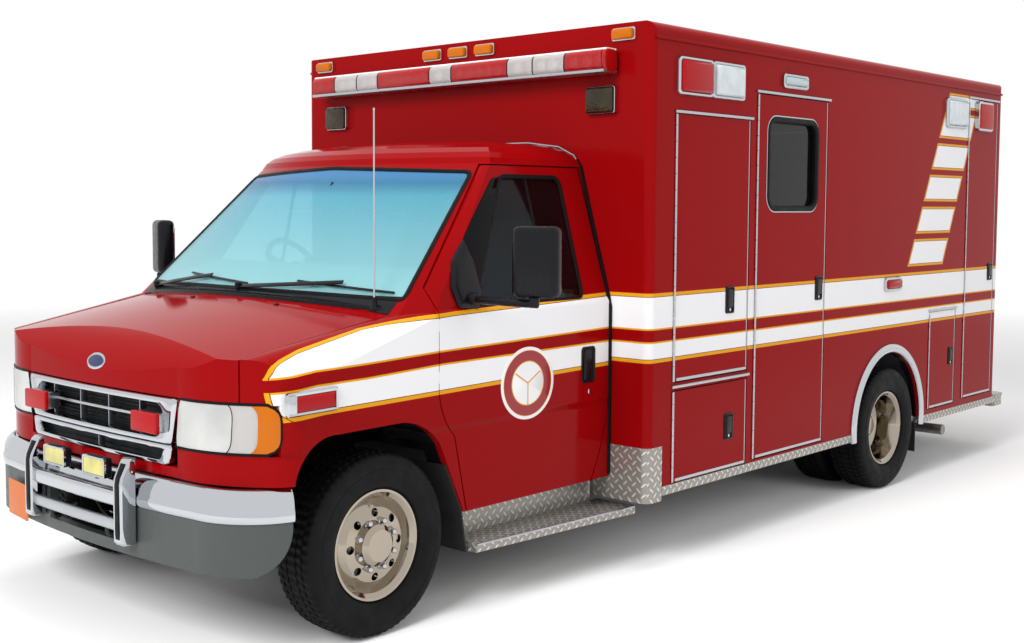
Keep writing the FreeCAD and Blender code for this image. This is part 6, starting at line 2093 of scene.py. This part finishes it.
    def rear_doors(self) -> None:
        """Hinges, gaskets and grab bars of the rear doors."""
        y = at_y(self.rear)
        box, pane = Span.of("rear_door_left"), Span.of("rear_window_left")
        outline = rounded((pane.low.x, pane.low.z), (pane.high.x, pane.high.z), 0.06, 9)
        gasket = bezel(grown(outline, 0.022), Axis.Y,
                       [(0.0, y - 0.001), (0.0, y + 0.004), (-0.006, y + 0.008),
                        (-0.022, y + 0.007), (-0.03, y - 0.002), (-0.03, y - 0.02),
                        (-0.022, y - 0.02), (-0.0205, y - 0.001)])
        pin = revolved([(box.low.z + 0.001, 0.0), (box.low.z + 0.001, 0.0044),
                        (box.high.z - 0.001, 0.0044), (box.high.z - 0.001, 0.0)], Axis.Z,
                       (0.606, y + 0.0043, 0.0), 14)
        leaf = plate(rectangle((0.576, box.low.z + 0.001), (0.605, box.high.z - 0.001)),
                     Axis.Y, y, y + 0.0026, 0.0006)
        grab = swept(curve_through([(0.075, y, 1.02), (0.075, y + 0.04, 1.05),
                                    (0.075, y + 0.045, 1.12), (0.075, y + 0.045, 1.28),
                                    (0.075, y + 0.04, 1.36), (0.075, y, 1.39)], 8),
                     circle(0.011, 12), (1, 0, 0))
        pair("rear_door_trim", [(gasket, Paint.RUBBER), (joined([pin, leaf]), Paint.BRIGHT),
                                (grab, Paint.CHROME)], "rear_door_{}")

    def build(self) -> None:
        """Makes all of the box's trim."""
        self.door_parts()
        self.mouldings()
        self.lamps()
        self.light_bar()
        self.rear_doors()


@dataclass
class Skirts:
    """Tread plate and polished trim along the foot of the vehicle.

    Attributes:
        half: X of the box's side.
        axle: distance of the rear axle behind the front one.
        arch: inner radius of the arch trim.
        rise: its centre's Z.
    """

    half: float = 1.219
    axle: float = 4.013
    arch: float = 0.432
    rise: float = 0.4

    def rails(self) -> list[Shape]:
        """The rails under the box's side, and the guard round its front corner.

        Returns:
            The shapes, on the left side.
        """
        out = self.half + 0.004
        shapes = [plate(rounded((at_y(start), 0.3445), (at_y(end), 0.3885), 0.004, 3), Axis.X,
                        self.half - 0.048, out, 0.003)
                  for start, end in ((1.606, self.axle - 0.458), (self.axle + 0.458, 5.692))]
        corner = np.linspace(0, math.pi / 2, 8)
        bend = np.stack([self.half - 0.042 + 0.044 * np.sin(corner),
                         1.488 + 0.042 - 0.044 * np.cos(corner)], -1)
        plan = np.vstack([[(0.905, 1.486)], [(1.06, 1.486)], bend, [(self.half + 0.002, 1.56)],
                          [(self.half + 0.002, 1.6)]])
        path = on_car(np.column_stack([plan, np.full(len(plan), 0.452)]))
        shapes.append(swept(path, rounded((-0.002, -0.131), (0.002, 0.131), 0.001, 2), (0, 0, 1)))
        return shapes

    def arch_trim(self) -> Shape:
        """The polished band round the arch, a half-round section carried along the arc.

        Returns:
            The band, on the left side.
        """
        angle = np.linspace(math.radians(187.5), math.radians(-7.5), 49)
        radius = self.arch + 0.027
        path = on_car(np.stack([np.full(49, self.half + 0.004), self.axle + radius * np.cos(angle),
                                self.rise + radius * np.sin(angle)], -1))
        turn = np.linspace(0, math.pi, 9)
        section = np.stack([0.018 * np.sin(turn), 0.028 * np.cos(turn)], -1)
        section = np.vstack([section, [(-0.004, -0.027), (-0.004, 0.027)]])
        centre = on_car([(0, self.axle, self.rise)])[0]
        outward = path - centre
        outward[:, 0] = 0
        outward /= np.linalg.norm(outward, axis=1, keepdims=True)
        points = (path[:, None] + np.array([1.0, 0, 0]) * section[None, :, :1]
                  + outward[:, None] * section[None, :, 1:])
        return surface(points, wrap_v=True, capped=True)

    def boards(self) -> None:
        """The running boards: a tread plate step that widens rearwards, under a riser."""
        outline = np.array([(0.882, at_y(0.512)), (1.034, at_y(0.512)), (1.1045, at_y(1.5545)),
                            (0.882, at_y(1.5545))])
        step = plate(outline, Axis.Z, 0.2485, 0.2895, 0.005, both=True)
        riser = plate(rounded((at_y(0.516), 0.289), (at_y(1.481), 0.4275), 0.004, 3), Axis.X,
                      0.8825, 0.8895, 0.001)
        lip = swept(np.array([(1.034, at_y(0.515), 0.284), (1.069, at_y(1.03), 0.284),
                              (1.102, at_y(1.55), 0.284)]), circle(0.0055, 8), (0, 0, 1))
        bolts = [revolved([(0.889, 0.0), (0.889, 0.008), (0.892, 0.008), (0.8935, 0.004),
                           (0.894, 0.0)], Axis.X, (0.0, at_y(y), 0.395), 12)
                 for y in np.arange(0.6, 1.46, 0.14).tolist()]
        pair("running_board", [(joined([step, riser]), Paint.CHECKER), (joined([lip, *bolts]),
            Paint.BRIGHT)], replaces="running_boards")

    def rear_step(self) -> None:
        """The rear step: a deep tread plate channel with rounded ends and a rubber bumper."""
        box = Span.of("rear_step")
        y0, y1 = at_y(5.696), box.high.y
        outline = rounded((-self.half, y0), (self.half, y1), 0.03)
        top = plate(outline, Axis.Z, 0.38, 0.399, 0.004, both=True)
        body = plate(grown(outline, -0.004), Axis.Z, 0.313, 0.381, 0.004, both=True)
        buffers = [plate(rounded((x - 0.11, 0.325), (x + 0.11, 0.372), 0.012), Axis.Y,
                         y1 - 0.006, y1, 0.003) for x in (-0.7, 0.7)]
        irons = [plate(rounded((0.37, at_y(5.642)), (0.43, at_y(5.722)), 0.004, 3), Axis.Z,
                       0.36, 0.568)]
        irons.append(irons[0].mirrored())
        piece("rear_step_plate", [(joined([top, body]), Paint.CHECKER),
                                  (joined(buffers), Paint.RUBBER),
                                  (joined(irons), Paint.CHASSIS)],
              replaces=("rear_step",))

    def build(self) -> None:
        """Makes the skirts, boards and step."""
        pair("skirt_plates", [(joined(self.rails()), Paint.CHECKER), (self.arch_trim(),
            Paint.CHROME)], replaces="skirt_trim")
        self.boards()
        self.rear_step()


@dataclass
class Cushion:
    """A stuffed pad, swollen by cloth pressure from a smaller closed form.

    Attributes:
        name: the piece's.
        low: lowest corner of the form.
        high: highest corner.
        lean: degrees that it leans back.
        cap: how far a point may move.
        voxel: edge of the remeshing grid.
    """

    name: str
    low: Point
    high: Point
    lean: float = 0.0
    cap: float = 0.014
    voxel: float = 0.011

    def form(self) -> Shape:
        """The starting form: a plate with round corners, thick along its shorter side.

        Returns:
            The form.
        """
        x0, y0, z0 = self.low
        x1, y1, z1 = self.high
        deep = min(y1 - y0, z1 - z0)
        if z1 - z0 < y1 - y0:
            shape = plate(rounded((x0, y0), (x1, y1), 0.05, 6), Axis.Z, z0, z1, deep * 0.35,
                          both=True)
        else:
            shape = plate(rounded((x0, z0), (x1, z1), 0.06, 6), Axis.Y, y0, y1, deep * 0.35,
                          both=True)
        return shape.turned(Axis.X, self.lean, (0.0, y0, z0))

    def swell(self, thing: bpy.types.Object) -> None:
        """Blows the pad up with cloth pressure, then holds each point within the cap.

        Args:
            thing: the pad's object.
        """
        remesh = thing.modifiers.new("remesh", "REMESH")
        remesh.mode, remesh.voxel_size = "VOXEL", self.voxel
        self.apply(thing)
        count = len(thing.data.vertices)
        rest = np.empty(count * 3)
        thing.data.vertices.foreach_get("co", rest)
        cloth = thing.modifiers.new("cloth", "CLOTH")
        cloth.settings.use_pressure = True
        cloth.settings.uniform_pressure_force = 4
        cloth.settings.effector_weights.gravity = 0
        cloth.point_cache.frame_start, cloth.point_cache.frame_end = 1, 20
        scene = bpy.context.scene
        for frame in range(1, 21):
            scene.frame_set(frame)
        self.apply(thing)
        scene.frame_set(1)
        moved = np.empty(count * 3)
        thing.data.vertices.foreach_get("co", moved)
        step = (moved - rest).reshape(-1, 3)
        far = np.linalg.norm(step, axis=1, keepdims=True)
        step *= np.minimum(1, self.cap / np.maximum(far, 1e-9))
        thing.data.vertices.foreach_set("co", (rest.reshape(-1, 3) + step).ravel())
        thing.modifiers.new("subdivision", "SUBSURF").levels = 1
        thing.modifiers["subdivision"].render_levels = 1
        self.apply(thing)

    @staticmethod
    def apply(thing: bpy.types.Object) -> None:
        """Replaces the object's mesh by what its modifiers make of it.

        Args:
            thing: the object.
        """
        graph = bpy.context.evaluated_depsgraph_get()
        mesh = bpy.data.meshes.new_from_object(thing.evaluated_get(graph))
        old = thing.data
        thing.modifiers.clear()
        thing.data = mesh
        bpy.data.meshes.remove(old)

    def build(self, replaces: tuple[str, ...] = ()) -> bpy.types.Object:
        """Args:
            replaces: CAD nodes that it stands for.

        Returns:
            The pad.
        """
        thing = piece(self.name, [(self.form(), Paint.VINYL)], replaces=replaces)
        self.swell(thing)
        thing.data.polygons.foreach_set("use_smooth", np.ones(len(thing.data.polygons), bool))
        return thing


@dataclass
class Interior:
    """What is seen through the glass: seats, their frames and the inside mirror."""

    def build(self) -> None:
        """Makes the seats and the inside mirror."""
        for side in Side:
            low, high = (0.2, 0.672) if side is Side.LEFT else (-0.672, -0.2)
            Cushion(f"seat_pad_{side.word}", (low, at_y(0.785), 0.966),
                    (high, at_y(1.19), 1.072)).build(("cab_seats",) if side is Side.LEFT else ())
            Cushion(f"seat_back_{side.word}", (low, at_y(1.205), 1.0),
                    (high, at_y(1.305), 1.7), -6.5).build()
        frame = [plate(rectangle((0.215, at_y(1.2)), (0.66, at_y(1.31))), Axis.Z, 0.9505, 0.985,
                       0.01, both=True), plate(rectangle((0.19, at_y(0.775)), (0.682, at_y(1.2))),
                                               Axis.Z, 0.9505, 0.962, 0.003, both=True)]
        both = frame + [s.mirrored() for s in frame]
        piece("seat_frames", [(joined(both), Paint.PLASTIC)])
        shell = plate(rounded((-0.055, 1.712), (0.185, 1.778), 0.022), Axis.Y, at_y(0.54),
                      at_y(0.56), 0.006, both=True)
        face = plate(rounded((-0.048, 1.718), (0.178, 1.772), 0.018), Axis.Y, at_y(0.559),
                     at_y(0.5615), 0.0005)
        stem = swept(on_car([(0.065, 0.545, 1.765), (0.065, 0.545, 1.795),
                             (0.065, 0.56, 1.822)]), circle(0.007, 10), (1, 0, 0))
        piece("inside_mirror", [(joined([shell, stem]), Paint.PLASTIC), (face, Paint.MIRROR)])


NODE_FINISH = {
    Paint.RED_SIDE: ("module_left_wall", "module_right_wall", "rear_tall_locker_door",
                     "rear_low_locker_door", "right_rear_locker_door"),
    Paint.RED: ("cab_body", "hood", "cab_door_left", "cab_door_right", "module_front_wall",
                "module_rear_frame", "upper_locker_door", "lower_locker_door",
                "side_entry_door", "right_front_locker_door", "rear_door_left",
                "rear_door_right"),
    Paint.PLAIN_RED: ("module_roof",),
    Paint.ALLOY: ("front_wheel_left", "front_wheel_right", "rear_wheels_left",
                  "rear_wheels_right"),
    Paint.VALANCE: ("bumper_valance",),
    Paint.PLASTIC: ("cowl", "steering_wheel"),
    Paint.DASH: ("dashboard",),
    Paint.SCREEN: ("windscreen",),
    Paint.PANE: ("cab_window_left", "cab_window_right"),
    Paint.DARK_PANE: ("side_entry_window", "rear_window_left", "rear_window_right"),
    Paint.CHASSIS: ("chassis_frame", "springs", "front_axle", "rear_axle"),
    Paint.IRON: ("drivetrain", "steering_knuckle_left", "steering_knuckle_right"),
    Paint.EXHAUST: ("exhaust",),
    Paint.TANK: ("fuel_tank",),
    Paint.FLAP: ("mud_flaps",),
    Paint.LINING: ("module_linings",),
    Paint.FLOOR: ("module_floor",),
}


def finish_nodes(nodes: dict[str, bpy.types.Object]) -> None:
    """Gives every CAD node that stays its finish.

    Args:
        nodes: the frame's nodes by name.
    """
    for paint, names in NODE_FINISH.items():
        for name in names:
            nodes[name].data.materials.clear()
            nodes[name].data.materials.append(paint.material)
            LOG.info("node %s: %s", name, paint.value.name)
    left = [n for n, o in nodes.items() if not o.hide_render
            and not any(n in names for names in NODE_FINISH.values())]
    if left:
        raise RuntimeError(f"no finish for {left}")


@dataclass
class Studio:
    """Floor, backdrop, lights and camera, none of which is part of the vehicle.

    Attributes:
        floor: sRGB of the floor.
        near: metres out where the floor starts to run into the white.
        far: metres out where it has.
    """

    floor: str = "#efefef"
    near: float = 7.0
    far: float = 16.0

    def ground(self) -> None:
        """A wide pale floor: it keeps the vehicle's shadow near by, and far out it runs into
        the plain white, by the distance from the middle."""
        tree = Tree("matt_studio_floor")
        place = tree.add("TexCoord").outputs["Object"]
        reach = tree.add("VectorMath", place, operation="LENGTH").outputs["Value"]
        matt = tree.add("BsdfDiffuse", {"Color": linear(self.floor), "Roughness": 0.5})
        white = tree.add("Emission", {"Color": linear("#ffffff"), "Strength": 1.0})
        share = tree.add("Math", self.seen(tree), tree.add("MapRange", reach, self.near, self.far),
                         operation="MULTIPLY")
        size = 60.0
        mesh = bpy.data.meshes.new("studio_floor")
        mesh.from_pydata([(-size, -size, 0), (size, -size, 0), (size, size, 0), (-size, size, 0)],
                         [], [(0, 1, 2, 3)])
        mesh.materials.append(tree.finished(tree.add("MixShader", share, matt, white)))
        thing = bpy.data.objects.new("studio_floor", mesh)
        bpy.context.scene.collection.objects.link(thing)

    @staticmethod
    def seen(tree: Tree) -> bpy.types.Node:
        """1 for rays that show the backdrop: from the camera, a mirror or a clear pane.

        Args:
            tree: the material's or the world's.

        Returns:
            The node.
        """
        path = tree.add("LightPath")
        direct = tree.add("Math", path.outputs["Is Camera Ray"],
                          path.outputs["Is Transmission Ray"], operation="MAXIMUM")
        return tree.add("Math", direct, path.outputs["Is Glossy Ray"], operation="MAXIMUM")

    def backdrop(self) -> None:
        """A world that is white where it is seen, and a weaker even light for the rest."""
        tree = Tree("studio_sky", world=True)
        bpy.context.scene.world = tree.material
        strength = tree.add("Mix", self.seen(tree), 0.54, 1.0)
        shine = tree.add("Background", {"Color": linear("#ffffff"), "Strength": strength})
        tree.add("OutputWorld", {"Surface": shine})

    @staticmethod
    def area(name: str, where: Point, at: Point, size: float, power: float) -> None:
        """A square soft light.

        Args:
            name: the light's.
            where: its place.
            at: what it points at.
            size: its edge.
            power: in watts.
        """
        light = bpy.data.lights.new(name, "AREA")
        light.energy, light.size = power, size
        thing = bpy.data.objects.new(name, light)
        thing.location = where
        thing.rotation_euler = (Vector(at) - Vector(where)).to_track_quat("-Z", "Y").to_euler()
        thing.visible_glossy = False
        bpy.context.scene.collection.objects.link(thing)

    def camera(self) -> None:
        """The camera, as fitted to the view."""
        data = bpy.data.cameras.new("main_camera")
        data.lens, data.sensor_width = 44.744, 36.0
        data.shift_x, data.shift_y = 0.0627, -0.0294
        data.clip_end = 200
        a, p, r = (math.radians(v) for v in (43.895, 3.811, 0.141))
        back = Vector((math.sin(a) * math.cos(p), -math.cos(a) * math.cos(p), math.sin(p)))
        right = Vector((math.cos(a), math.sin(a), 0.0))
        up = back.cross(right)
        x = right * math.cos(r) + up * math.sin(r)
        y = up * math.cos(r) - right * math.sin(r)
        thing = bpy.data.objects.new("main_camera", data)
        thing.matrix_world = Matrix((x, y, back)).transposed().to_4x4()
        thing.location = (4.6177, -5.9307, 1.711)
        bpy.context.scene.collection.objects.link(thing)
        bpy.context.scene.camera = thing
        bpy.context.scene.view_settings.view_transform = "Standard"

    def build(self) -> None:
        """Sets up the whole studio."""
        self.ground()
        self.backdrop()
        self.area("key_light", (2.0, -11.0, 7.0), (0.0, -2.0, 1.0), 5.0, 1050)
        self.area("side_fill", (9.0, 1.0, 5.0), (1.0, 0.0, 1.2), 5.0, 200)
        self.area("top_light", (0.0, 0.0, 9.0), (0.0, 0.0, 0.0), 6.0, 480)
        self.camera()


def main() -> None:
    """Builds the whole scene round the frame."""
    logging.basicConfig(level=logging.INFO, format="%(message)s")
    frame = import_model()
    for part in (Wheels(), FrontEnd(), CabTrim(), BoxTrim(), Skirts(), Interior()):
        part.build()
    finish_nodes(frame["nodes"])
    Studio().build()


if __name__ == "__main__":
    main()
